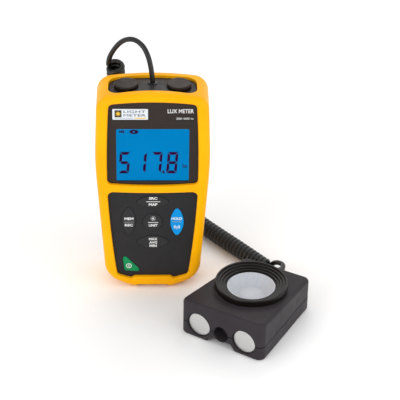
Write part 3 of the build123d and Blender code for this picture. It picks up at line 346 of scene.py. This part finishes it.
NODE_MATERIALS = {
    "protective_sheath": SHEATH, "front_shell": CASE, "rear_shell": CASE, "battery_cover": CASE,
    "case_screws": STEEL, "cover_screw": STEEL, "sensor_screws": STEEL, "display_bezel": BEZEL,
    "lcd_cover": WINDOW, "lcd_panel": LCD, "lcd_backlight": LIGHT_GUIDE, "lcd_holder": WHITE_PLASTIC,
    "name_plate": BADGE, "keypad_panel": KEYPAD, "main_board": BOARD, "sensor_board": BOARD,
    "switch_domes": STEEL, "radio_can": STEEL, "battery_left": CELL, "battery_middle": CELL,
    "battery_right": CELL, "battery_springs": STEEL, "battery_contacts": STEEL,
    "dock_cap_left": CAP_METAL, "dock_cap_right": CAP_METAL, "cord_grommet": CORD_RUBBER,
    "key_source": KEY_DARK, "key_memory": KEY_DARK, "key_unit": KEY_DARK, "key_hold": KEY_BLUE,
    "key_max": KEY_DARK, "key_power": KEY_GREEN, "sensor_upper_shell": SENSOR_CASE,
    "sensor_lower_shell": SENSOR_CASE, "sensor_collar": COLLAR, "diffuser": DIFFUSER,
    "optical_filter": FILTER, "photodiode": DETECTOR, "dock_magnet_left": MAGNET,
    "dock_magnet_right": MAGNET, "strain_relief": CORD_RUBBER,
}
for label, material in NODE_MATERIALS.items():
    materials = NODES[label].data.materials
    materials.clear()
    materials.append(material)

# ---------------------------------------------------------------- cord

WIRE_RADIUS = 1.8
COIL_RADIUS = 4.95  # from the coil's axis to the middle of its wire, at its upper end
COIL_RADIUS_LOW = 4.55  # the same at its lower end
COIL_PITCH = 3.66
TURN_POINTS = 14
TUBE_SIDES = 12
TUBE_STEP = 0.7
TUBE_SIDE = Vector((0.3, 1, 0.2))  # any direction across the wire's start

TAIL_TOP = [
    (0, 3.2, 156.1),
    (-0.5, 3.8, 162.6),
    (-2.6, 6.4, 173.0),
    (-6.6, 10.6, 180.0),
    (-13.0, 16.2, 182.2),
    (-20.2, 21.6, 178.6),
    (-26.0, 25.6, 170.8),
    (-30.2, 28.2, 162.0),
]
COIL_ROUTE = [
    (-26.0, 29.0, 155.6),
    (-25.4, 35.0, 134.0),
    (-22.0, 42.6, 112.0),
    (-15.0, 50.5, 91.0),
    (-6.5, 58.0, 70.0),
    (2.5, 65.0, 49.0),
    (10.8, 70.2, 28.8),
    (18.3, 69.4, 18.6),
    (27.3, 64.4, 10.8),
    (36.4, 56.6, 6.9),
    (48.0, 41.4, 6.9),
    (61.0, 25.2, 6.9),
    (72.5, 10.0, 6.9),
    (83.4, -4.2, 6.9),
]
TAIL_SENSOR = [
    (88.4, -4.0, 11.8),
    (91.4, -8.4, 14.8),
    (94.9, -14.2, 16.2),
]
COIL_TOP_END = Vector((-31.0, 29.0, 155.4))
COIL_LOW_END = Vector((88.0, -3.3, 8.2))
BOOT_REACH = 46.6  # from the head's middle to the boot's end
BOOT_HEIGHT = 16.0
BOOT_END = SENSOR_CENTRE / MM - SENSOR_SIDE + SENSOR_BACK * BOOT_REACH + Vector((0, 0, BOOT_HEIGHT))
AXIS_STEPS = 40
WIRE_STEPS = 8


def route_points(route, resolution):
    """The points of the smooth line that a route's own NURBS spline makes."""
    curve = bpy.data.curves.new("route", "CURVE")
    curve.dimensions = "3D"
    curve.resolution_u = resolution
    spline = curve.splines.new("NURBS")
    spline.points.add(len(route) - 1)
    for point, place in zip(spline.points, route):
        point.co = (*place, 1.0)
    spline.order_u = 3
    spline.use_endpoint_u = True
    holder = bpy.data.objects.new("route", curve)
    mesh = bpy.data.meshes.new_from_object(holder)
    points = [vertex.co.copy() for vertex in mesh.vertices]
    bpy.data.objects.remove(holder)
    bpy.data.curves.remove(curve)
    bpy.data.meshes.remove(mesh)
    return points


def frames_along(points, start_side):
    """Tangents and side vectors at points, carried along without twist from start_side."""
    tangents = []
    for index in range(len(points)):
        before = points[max(index - 1, 0)]
        after = points[min(index + 1, len(points) - 1)]
        tangents.append((after - before).normalized())
    side = start_side - tangents[0] * start_side.dot(tangents[0])
    side.normalize()
    sides = [side]
    for before, after in zip(tangents, tangents[1:]):
        side = before.rotation_difference(after) @ sides[-1]
        side = side - after * side.dot(after)
        sides.append(side.normalized())
    return tangents, sides


def distances_along(points):
    """How far along a line each of its points is."""
    travel = [0.0]
    for before, after in zip(points, points[1:]):
        travel.append(travel[-1] + (after - before).length)
    return travel


def helix_route(axis_points, first, last):
    """Control points of the coil's wire, from near the point first to near the point last."""
    tangents, sides = frames_along(axis_points, first - axis_points[0])
    travel = distances_along(axis_points)
    end_offset = last - axis_points[-1]
    end_side = end_offset.dot(sides[-1])
    end_other = end_offset.dot(tangents[-1].cross(sides[-1]))
    end_angle = math.atan2(end_other, end_side)
    turns = round(travel[-1] / COIL_PITCH)
    total = turns * 2 * math.pi + end_angle
    count = round(total / (2 * math.pi) * TURN_POINTS)
    points = []
    cursor = 0
    for index in range(count + 1):
        share = index / count
        distance = share * travel[-1]
        while cursor < len(travel) - 2 and travel[cursor + 1] < distance:
            cursor += 1
        part = (distance - travel[cursor]) / (travel[cursor + 1] - travel[cursor])
        centre = axis_points[cursor].lerp(axis_points[cursor + 1], part)
        side = sides[cursor].lerp(sides[cursor + 1], part).normalized()
        tangent = tangents[cursor].lerp(tangents[cursor + 1], part).normalized()
        angle = share * total
        other = tangent.cross(side)
        radius = COIL_RADIUS + (COIL_RADIUS_LOW - COIL_RADIUS) * share
        points.append(centre + (side * math.cos(angle) + other * math.sin(angle)) * radius)
    return points


def tube(name, points, radius, sides, material):
    """A round tube along points, closed at both ends; ring after ring of sides vertices."""
    tangents, side_vectors = frames_along(points, TUBE_SIDE)
    bm = bmesh.new()
    rings = []
    for place, tangent, side in zip(points, tangents, side_vectors):
        other = tangent.cross(side)
        ring = []
        for step in range(sides):
            angle = 2 * math.pi * step / sides
            ring.append(bm.verts.new(place + (side * math.cos(angle) + other * math.sin(angle)) * radius))
        rings.append(ring)
    for ring, following in zip(rings, rings[1:]):
        for step in range(sides):
            beside = (step + 1) % sides
            bm.faces.new((ring[step], ring[beside], following[beside], following[step]))
    bm.faces.new(list(reversed(rings[0])))
    bm.faces.new(rings[-1])
    return finish_mesh(name, bm, material, angle=60)


coil_axis = route_points(COIL_ROUTE, AXIS_STEPS)
coil_wire = helix_route(coil_axis, COIL_TOP_END, COIL_LOW_END)
fine_line = route_points([*TAIL_TOP, *coil_wire, *TAIL_SENSOR, BOOT_END], WIRE_STEPS)
wire_line = [fine_line[0]]
for place in fine_line[1:-1]:
    if (place - wire_line[-1]).length >= TUBE_STEP:
        wire_line.append(place)
wire_line.append(fine_line[-1])
wire_line = [place * MM for place in wire_line]
travel = distances_along(wire_line)
print("wire length", round(travel[-1], 4), "rings", len(wire_line))

curly_cord = tube("curly_cord", wire_line, WIRE_RADIUS * MM, TUBE_SIDES, CORD_RUBBER)
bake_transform(curly_cord)

# Stretch weights along the wire, one per ring and the same for each of its vertices, so that the wire would
# stay round where the coil is drawn out; nothing here applies them
STRETCH_FROM = 0.4  # the share of the wire that stays where it is
STRETCH_EASE = 0.6  # how much more the wire is drawn out in its middle than at its end
HELD_TAIL = 0.03  # HELD_TAIL = 0.03 # the length at the wire's end that gets the full weight, for the part held by the sensor head
tail_share = 1 - HELD_TAIL / travel[-1]
weights = []
for distance in travel:
    share = (distance / travel[-1] - STRETCH_FROM) / (tail_share - STRETCH_FROM)
    share = min(max(share, 0.0), 1.0)
    weights += [share * share * (1 + STRETCH_EASE - STRETCH_EASE * share)] * TUBE_SIDES
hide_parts("cord_tail_top", "cord_coil", "cord_tail_sensor")

# ---------------------------------------------------------------- printing and display

BEZEL_FRONT = -16.0
KEY_FRONT = -16.5
LCD_FRONT = -13.5
PLATE_FRONT = -16.35
PRINT_DEPTH = 0.04
SUN_RAYS = 8


def ride_with(obj, body):
    """Makes an object move with a body."""
    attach(obj, body)


def upright_points(bm, outline, y):
    """Vertices at an outline's X and Z, all at the same Y."""
    return [bm.verts.new((x * MM, y * MM, z * MM)) for x, z in outline]


def raise_outline(bm, outline, front, face):
    """A thin solid from front to face inside one outline."""
    back_loop = upright_points(bm, outline, front)
    face_loop = upright_points(bm, outline, face)
    bm.faces.new(back_loop)
    bm.faces.new(face_loop)
    for step in range(len(outline)):
        beside = (step + 1) % len(outline)
        bm.faces.new((face_loop[step], face_loop[beside], back_loop[beside], back_loop[step]))


def raise_ring(bm, outer, inner, front, face):
    """A thin solid from front to face between two matching outlines."""
    back_outer = upright_points(bm, outer, front)
    back_inner = upright_points(bm, inner, front)
    face_outer = upright_points(bm, outer, face)
    face_inner = upright_points(bm, inner, face)
    loop_pairs = (
        (face_outer, face_inner), (back_outer, back_inner),
        (face_outer, back_outer), (face_inner, back_inner),
    )
    for step in range(len(outer)):
        beside = (step + 1) % len(outer)
        for loop, other in loop_pairs:
            bm.faces.new((loop[step], loop[beside], other[beside], other[step]))


def flat_shape(name, outlines, front, material, body, depth=PRINT_DEPTH):
    """Thin raised shapes on an upright face: each outline is a list of X and Z, or a pair of matching
    outer and inner lists for a ring."""
    bm = bmesh.new()
    for outline in outlines:
        if isinstance(outline, tuple):
            raise_ring(bm, *outline, front, front - depth)
        else:
            raise_outline(bm, outline, front, front - depth)
    ride_with(finish_mesh(name, bm, material, angle=30), body)


def bar(x_low, x_high, z_low, z_high):
    """An upright rectangle's outline."""
    return [(x_low, z_low), (x_high, z_low), (x_high, z_high), (x_low, z_high)]


def oval(x, z, half_width, half_height, count=32):
    """An oval outline of count points round x and z."""
    turns = [2 * math.pi * step / count for step in range(count)]
    return [(x + half_width * math.cos(angle), z + half_height * math.sin(angle)) for angle in turns]


def circle(x, z, radius, count=28):
    """A round outline of count points."""
    return oval(x, z, radius, radius, count)


def sun_outlines(x, z, disc, disc_points, rays_from, rays_to, ray_half_width, first_angle):
    """A disc with rays round it, the first at first_angle."""
    outlines = [circle(x, z, disc, disc_points)]
    for ray in range(SUN_RAYS):
        angle = first_angle + 2 * math.pi / SUN_RAYS * ray
        along = (math.cos(angle), math.sin(angle))
        across = (-along[1] * ray_half_width, along[0] * ray_half_width)
        corners = ((rays_from, -1), (rays_to, -1), (rays_to, 1), (rays_from, 1))
        outlines.append([
            (x + along[0] * radius + sign * across[0], z + along[1] * radius + sign * across[1])
            for radius, sign in corners
        ])
    return outlines


def arc_band(x, z, radius, width, start, end, count=12):
    """A band along an arc, from start to end in degrees, as one outline."""
    turns = [math.radians(start + (end - start) * step / count) for step in range(count + 1)]
    edges = []
    for reach in (radius + width / 2, radius - width / 2):
        edges.append([(x + reach * math.cos(angle), z + reach * math.sin(angle)) for angle in turns])
    outer, inner = edges
    return outer + inner[::-1]


def lettering(name, text, x, z, height, width, front, material, body, weight=0.0):
    """Raised lettering of a given cap height and width, centred at x and z on an upright face."""
    curve = bpy.data.curves.new(name, "FONT")
    curve.body = text
    curve.size = 1.0
    curve.offset = weight
    curve.resolution_u = 3
    holder = bpy.data.objects.new(name, curve)
    scene.collection.objects.link(holder)
    bpy.context.view_layer.update()
    evaluated = holder.evaluated_get(bpy.context.evaluated_depsgraph_get())
    mesh = bpy.data.meshes.new_from_object(evaluated)
    bpy.data.objects.remove(holder)
    bpy.data.curves.remove(curve)
    xs = [vertex.co.x for vertex in mesh.vertices]
    ys = [vertex.co.y for vertex in mesh.vertices]
    x_scale = width / (max(xs) - min(xs))
    y_scale = height / (max(ys) - min(ys))
    x_middle = (max(xs) + min(xs)) / 2
    y_middle = (max(ys) + min(ys)) / 2
    bm = bmesh.new()
    bm.from_mesh(mesh)
    bpy.data.meshes.remove(mesh)
    bmesh.ops.remove_doubles(bm, verts=bm.verts, dist=1e-5)
    grown = bmesh.ops.extrude_face_region(bm, geom=bm.faces[:] + bm.edges[:] + bm.verts[:])
    raised = {element for element in grown["geom"] if isinstance(element, bmesh.types.BMVert)}
    for vertex in bm.verts:
        level = front - PRINT_DEPTH if vertex in raised else front
        vertex.co = Vector((
            (x + (vertex.co.x - x_middle) * x_scale) * MM,
            level * MM,
            (z + (vertex.co.y - y_middle) * y_scale) * MM,
        ))
    ride_with(finish_mesh(name, bm, material, angle=30), body)


# The reading: seven-segment digits, each from its lower left corner
DIGIT_WIDTH = 7.4
DIGIT_HEIGHT = 17.2
DIGIT_SLANT = 0.075
STROKE = 2.0
STROKE_HIGH = 2.3
SEGMENT_GAP = 0.28
SEGMENT_TIP = 0.5  # how far a segment's outer point is held back from the digit's corner
SEGMENT_TRIM = 0.1  # how much narrower the upright segments are
DIGIT_BASE = 92.9
POINT_LEFT = 6.7
POINT_WIDTH = 1.5
POINT_HEIGHT = 2.1


def segment_outlines(segments, left):
    """A digit's lit segments: t top, m middle, b bottom, and the upper and lower left and right."""
    top = DIGIT_HEIGHT
    right = DIGIT_WIDTH
    gap = SEGMENT_GAP
    middle = top / 2
    upper = middle + STROKE_HIGH / 2
    lower = middle - STROKE_HIGH / 2
    inner = right - STROKE
    slim = STROKE - SEGMENT_TRIM
    shapes = {
        "t": [(gap, top), (right - gap, top), (inner, top - STROKE_HIGH), (STROKE, top - STROKE_HIGH)],
        "b": [(gap, 0), (right - gap, 0), (inner, STROKE_HIGH), (STROKE, STROKE_HIGH)],
        "m": [
            (gap + SEGMENT_TIP, middle), (STROKE, upper), (inner, upper),
            (right - gap - SEGMENT_TIP, middle), (inner, lower), (STROKE, lower),
        ],
        "ul": [
            (0, top - gap - SEGMENT_TIP), (slim, top - STROKE_HIGH - gap),
            (slim, upper + gap), (0, middle + gap),
        ],
        "ll": [
            (0, gap + SEGMENT_TIP), (slim, STROKE_HIGH + gap),
            (slim, lower - gap), (0, middle - gap),
        ],
    }
    shapes["ur"] = [(right - x, z) for x, z in shapes["ul"]]
    shapes["lr"] = [(right - x, z) for x, z in shapes["ll"]]
    outlines = []
    for name in segments:
        outlines.append([(left + x + z * DIGIT_SLANT, DIGIT_BASE + z) for x, z in shapes[name]])
    return outlines


# Lit segments and left edge of each digit
DIGITS = [
    (("t", "ul", "m", "lr", "b"), -23.9),
    (("ur", "lr"), -12.5),
    (("t", "ur", "lr"), -1.7),
    (("t", "ul", "ur", "m", "ll", "lr", "b"), 9.2),
]
# Marks on the display
reading = []
for segments, left in DIGITS:
    reading += segment_outlines(segments, left)
reading.append(bar(POINT_LEFT, POINT_LEFT + POINT_WIDTH, DIGIT_BASE, DIGIT_BASE + POINT_HEIGHT))
flat_shape("display_digits", reading, LCD_FRONT, INK, "housing")

GAUGE_CELLS = 3
GAUGE_LEFT = -22.9
GAUGE_STEP = 1.25
GAUGE_WIDTH = 1.0
GAUGE_LOW = 125.1
GAUGE_HIGH = 126.9
gauge = []
for step in range(GAUGE_CELLS):
    cell_left = GAUGE_LEFT + GAUGE_STEP * step
    gauge.append(bar(cell_left, cell_left + GAUGE_WIDTH, GAUGE_LOW, GAUGE_HIGH))
flat_shape("display_battery", gauge, LCD_FRONT, INK, "housing")

EYE_PLACE = (-12.9, 125.9)
EYE_OUTER = (3.1, 1.7)
EYE_INNER = (0.8, 0.6)
eye = (oval(*EYE_PLACE, *EYE_OUTER), oval(*EYE_PLACE, *EYE_INNER))
flat_shape("display_eye", [eye], LCD_FRONT, INK, "housing")

lettering("display_unit", "lx", 22.5, 98.9, 3.1, 3.5, LCD_FRONT, INK, "housing", 0.02)

# Front print above the display
RULE_REACH = 30.6
RULE_LOW = 133.9
RULE_HIGH = 134.15
bezel_rule = bar(-RULE_REACH, RULE_REACH, RULE_LOW, RULE_HIGH)
flat_shape("bezel_rule", [bezel_rule], BEZEL_FRONT, BADGE_DARK, "housing", PRINT_DEPTH / 2)

# Name, text, x, z, cap height, width and weight
TITLES = [
    ("title_print", "LUX METER", 19.1, 143.3, 3.1, 17.8, 0.012),
    ("range_print", "200 000 lx", 22.0, 137.6, 1.5, 11.8, 0.0),
]
for name, text, x, z, height, width, weight in TITLES:
    lettering(name, text, x, z, height, width, BEZEL_FRONT, PRINT, "housing", weight)

# Badge, measured from the name plate's lower left corner; bars as x low, x high, z low and z high
PLATE_PLACE = (-15.3, 141.0)
PLATE_SIZE = (24.2, 8.2)
BADGE_SQUARE = (1.5, 6.2, 1.9, 7.3)
BADGE_RULE = (1.5, 14.2, 1.0, 1.35)
BADGE_ACCENT = (15.0, 22.9, 0.8, 1.6)
EMBLEM_PLACE = (3.85, 4.6)
BADGE_TEXT_X = 15.1
BADGE_TEXT_HEIGHT = 1.8
BADGE_TEXT_WIDTH = 15.0
BADGE_LINES = [
    ("badge_upper_print", "LIGHT", 6.2),
    ("badge_lower_print", "METER", 3.4),
]
plate_left = PLATE_PLACE[0] - PLATE_SIZE[0] / 2
plate_low = PLATE_PLACE[1] - PLATE_SIZE[1] / 2


def badge_bar(name, x_low, x_high, z_low, z_high, material):
    """A bar on the name plate."""
    outline = bar(plate_left + x_low, plate_left + x_high, plate_low + z_low, plate_low + z_high)
    flat_shape(name, [outline], PLATE_FRONT, material, "housing")


badge_bar("badge_square", *BADGE_SQUARE, BADGE_DARK)
emblem = sun_outlines(
    plate_left + EMBLEM_PLACE[0], plate_low + EMBLEM_PLACE[1], disc=1.15, disc_points=28,
    rays_from=1.4, rays_to=2.0, ray_half_width=0.16, first_angle=0.0,
)
flat_shape("badge_sun", emblem, PLATE_FRONT - PRINT_DEPTH, BADGE_YELLOW, "housing")
for name, text, z in BADGE_LINES:
    lettering(
        name, text, plate_left + BADGE_TEXT_X, plate_low + z, BADGE_TEXT_HEIGHT, BADGE_TEXT_WIDTH,
        PLATE_FRONT, BADGE_DARK, "housing",
    )
badge_bar("badge_rules", *BADGE_RULE, PRINT_GREY)
badge_bar("badge_accent", *BADGE_ACCENT, BADGE_YELLOW)

KEY_LEFT = -16.8
KEY_MIDDLE = 0.3
KEY_RIGHT = 17.0
LEGEND_HEIGHT = 2.1
LEGEND_WEIGHT = 0.03
# Key legends: key, text, x, z, width
LEGENDS = [
    ("key_source", "SRC", KEY_MIDDLE, 74.2, 5.9),
    ("key_source", "MAP", KEY_MIDDLE, 69.2, 6.1),
    ("key_memory", "MEM", KEY_LEFT, 57.4, 6.4),
    ("key_memory", "REC", KEY_LEFT, 52.1, 5.8),
    ("key_unit", "UNIT", KEY_MIDDLE, 51.9, 6.2),
    ("key_hold", "HOLD", KEY_RIGHT, 57.5, 7.4),
    ("key_max", "MAX", KEY_MIDDLE, 40.4, 6.0),
    ("key_max", "AVG", KEY_MIDDLE, 37.5, 5.6),
    ("key_max", "MIN", KEY_MIDDLE, 34.7, 5.2),
]
for key, text, x, z, width in LEGENDS:
    label = "legend_" + text.lower()
    lettering(label, text, x, z, LEGEND_HEIGHT, width, KEY_FRONT, PRINT, key, LEGEND_WEIGHT)

RULE_HALF = 0.22
# Lines between the legends of a key: key, x, z, half length, material
RULES = [
    ("key_source", KEY_MIDDLE, 71.5, 4.9, PRINT),
    ("key_memory", KEY_LEFT, 54.6, 3.5, PRINT_GREY),
    ("key_unit", KEY_MIDDLE, 54.3, 3.6, PRINT),
    ("key_hold", KEY_RIGHT, 54.9, 3.4, PRINT_GREY),
]
for key, x, z, half, material in RULES:
    line = bar(x - half, x + half, z - RULE_HALF, z + RULE_HALF)
    flat_shape("rule_" + key, [line], KEY_FRONT, material, key)

# Symbols on the keys
sun = sun_outlines(
    KEY_MIDDLE, 57.5, disc=0.62, disc_points=16,
    rays_from=1.0, rays_to=1.95, ray_half_width=0.13, first_angle=math.pi / SUN_RAYS,
)
flat_shape("sun_symbol", sun, KEY_FRONT, PRINT, "key_unit")

WAVES_PLACE = (17.1, 50.6)
WAVE_RADII = (1.15, 1.95)
WAVE_WIDTH = 0.4
WAVE_SPREAD = 48
MAST = (16.9, 17.3, 48.6, 50.4)
waves = [circle(*WAVES_PLACE, radius=0.42, count=14)]
for radius in WAVE_RADII:
    for middle in (0, 180):
        waves.append(arc_band(*WAVES_PLACE, radius, WAVE_WIDTH, middle - WAVE_SPREAD, middle + WAVE_SPREAD))
waves.append(bar(*MAST))
flat_shape("wireless_symbol", waves, KEY_FRONT, PRINT, "key_hold")

POWER_PLACE = (-17.1, 17.6)
POWER_BAR = (-17.35, -16.85, 16.6, 18.6)
power_ring = (circle(*POWER_PLACE, radius=2.0, count=32), circle(*POWER_PLACE, radius=1.5, count=32))
power = [power_ring, bar(*POWER_BAR)]
flat_shape("power_symbol", power, KEY_FRONT, PRINT, "key_power")

# ---------------------------------------------------------------- sensor seam shadow (painted shade)

# Painted shade: a near-black strip in the groove between the sensor head's two shells, standing in for the
# gap's shadow; left out at the magnets and the arch.
# X and Y are measured from the head's middle along its own side and back.
SEAM_FRONT = -37.7
SEAM_REAR = 37.7
SEAM_PATHS = [
    [
        (27.4, SEAM_FRONT), (32.9, SEAM_FRONT), (26.9, SEAM_REAR),
        (-26.9, SEAM_REAR), (-32.9, SEAM_FRONT), (-27.4, SEAM_FRONT),
    ],
    [(6.2, SEAM_FRONT), (8.9, SEAM_FRONT)],
    [(-8.9, SEAM_FRONT), (-6.2, SEAM_FRONT)],
]
SEAM_ROUND = 4.7
SEAM_LOW = 10.16
SEAM_HIGH = 10.74
CORNER_STEPS = 8


def rounded_path(points, radius):
    """An open line with its inner corners rounded to radius."""
    points = [Vector(point) for point in points]
    line = [points[0]]
    for before, corner, after in zip(points, points[1:], points[2:]):
        to_last = (before - corner).normalized()
        to_next = (after - corner).normalized()
        half = to_last.angle(to_next) / 2
        centre = corner + (to_last + to_next).normalized() * radius / math.sin(half)
        start = corner + to_last * radius / math.tan(half) - centre
        end = corner + to_next * radius / math.tan(half) - centre
        for step in range(CORNER_STEPS + 1):
            line.append(centre + start.lerp(end, step / CORNER_STEPS).normalized() * radius)
    return line + [points[-1]]


seam = bmesh.new()
for path in SEAM_PATHS:
    rows = []
    for point in rounded_path(path, SEAM_ROUND):
        place = SENSOR_CENTRE + (SENSOR_SIDE * point.x + SENSOR_BACK * point.y) * MM
        rows.append([seam.verts.new((place.x, place.y, level * MM)) for level in (SEAM_LOW, SEAM_HIGH)])
    for row, beside in zip(rows, rows[1:]):
        seam.faces.new((row[0], beside[0], beside[1], row[1]))
seam_shadow_line = finish_mesh("sensor_seam_shadow", seam, SEAM_SHADE)
ride_with(seam_shadow_line, "sensor")

# ---------------------------------------------------------------- floor, light and world

FLOOR_SIZE = 6.0
FLOOR_DROP = 0.0002  # the floor lies this much under the meter's feet
floor_mesh = bmesh.new()
bmesh.ops.create_grid(floor_mesh, x_segments=1, y_segments=1, size=FLOOR_SIZE)
FLOOR = moulded("floor", linear(252, 252, 252), linear(250, 250, 250), gloss=(0.6, 0.7), grain=800, mottle=3)
floor = finish_mesh("floor", floor_mesh, FLOOR)
floor.location = (0, 0, -FLOOR_DROP)

LIGHT_TARGET = (0.03, 0, 0.06)
# Name, place and side in metres, power in watts
SOFTBOXES = [
    ("key_light", (-0.8, -0.9, 0.6), 0.7, 5.0),
    ("fill_light", (1.0, -0.6, 0.4), 0.7, 3.5),
    ("rear_light", (0.2, 0.95, 1.0), 0.8, 2.5),
]
WORLD_STRENGTH = 0.9


def softbox(name, place, size, energy):
    """A square area light aimed at the meter."""
    light = bpy.data.lights.new(name, "AREA")
    light.shape = "SQUARE"
    light.size = size
    light.energy = energy
    holder = bpy.data.objects.new(name, light)
    scene.collection.objects.link(holder)
    holder.location = place
    holder.rotation_mode = "QUATERNION"
    holder.rotation_quaternion = (Vector(LIGHT_TARGET) - Vector(place)).to_track_quat("-Z", "Y")


for name, place, size, energy in SOFTBOXES:
    softbox(name, place, size, energy)

world = bpy.data.worlds.new("studio")
world.use_nodes = True
background = world.node_tree.nodes["Background"]
background.inputs["Color"].default_value = (1, 1, 1, 1)
background.inputs["Strength"].default_value = WORLD_STRENGTH
scene.world = world
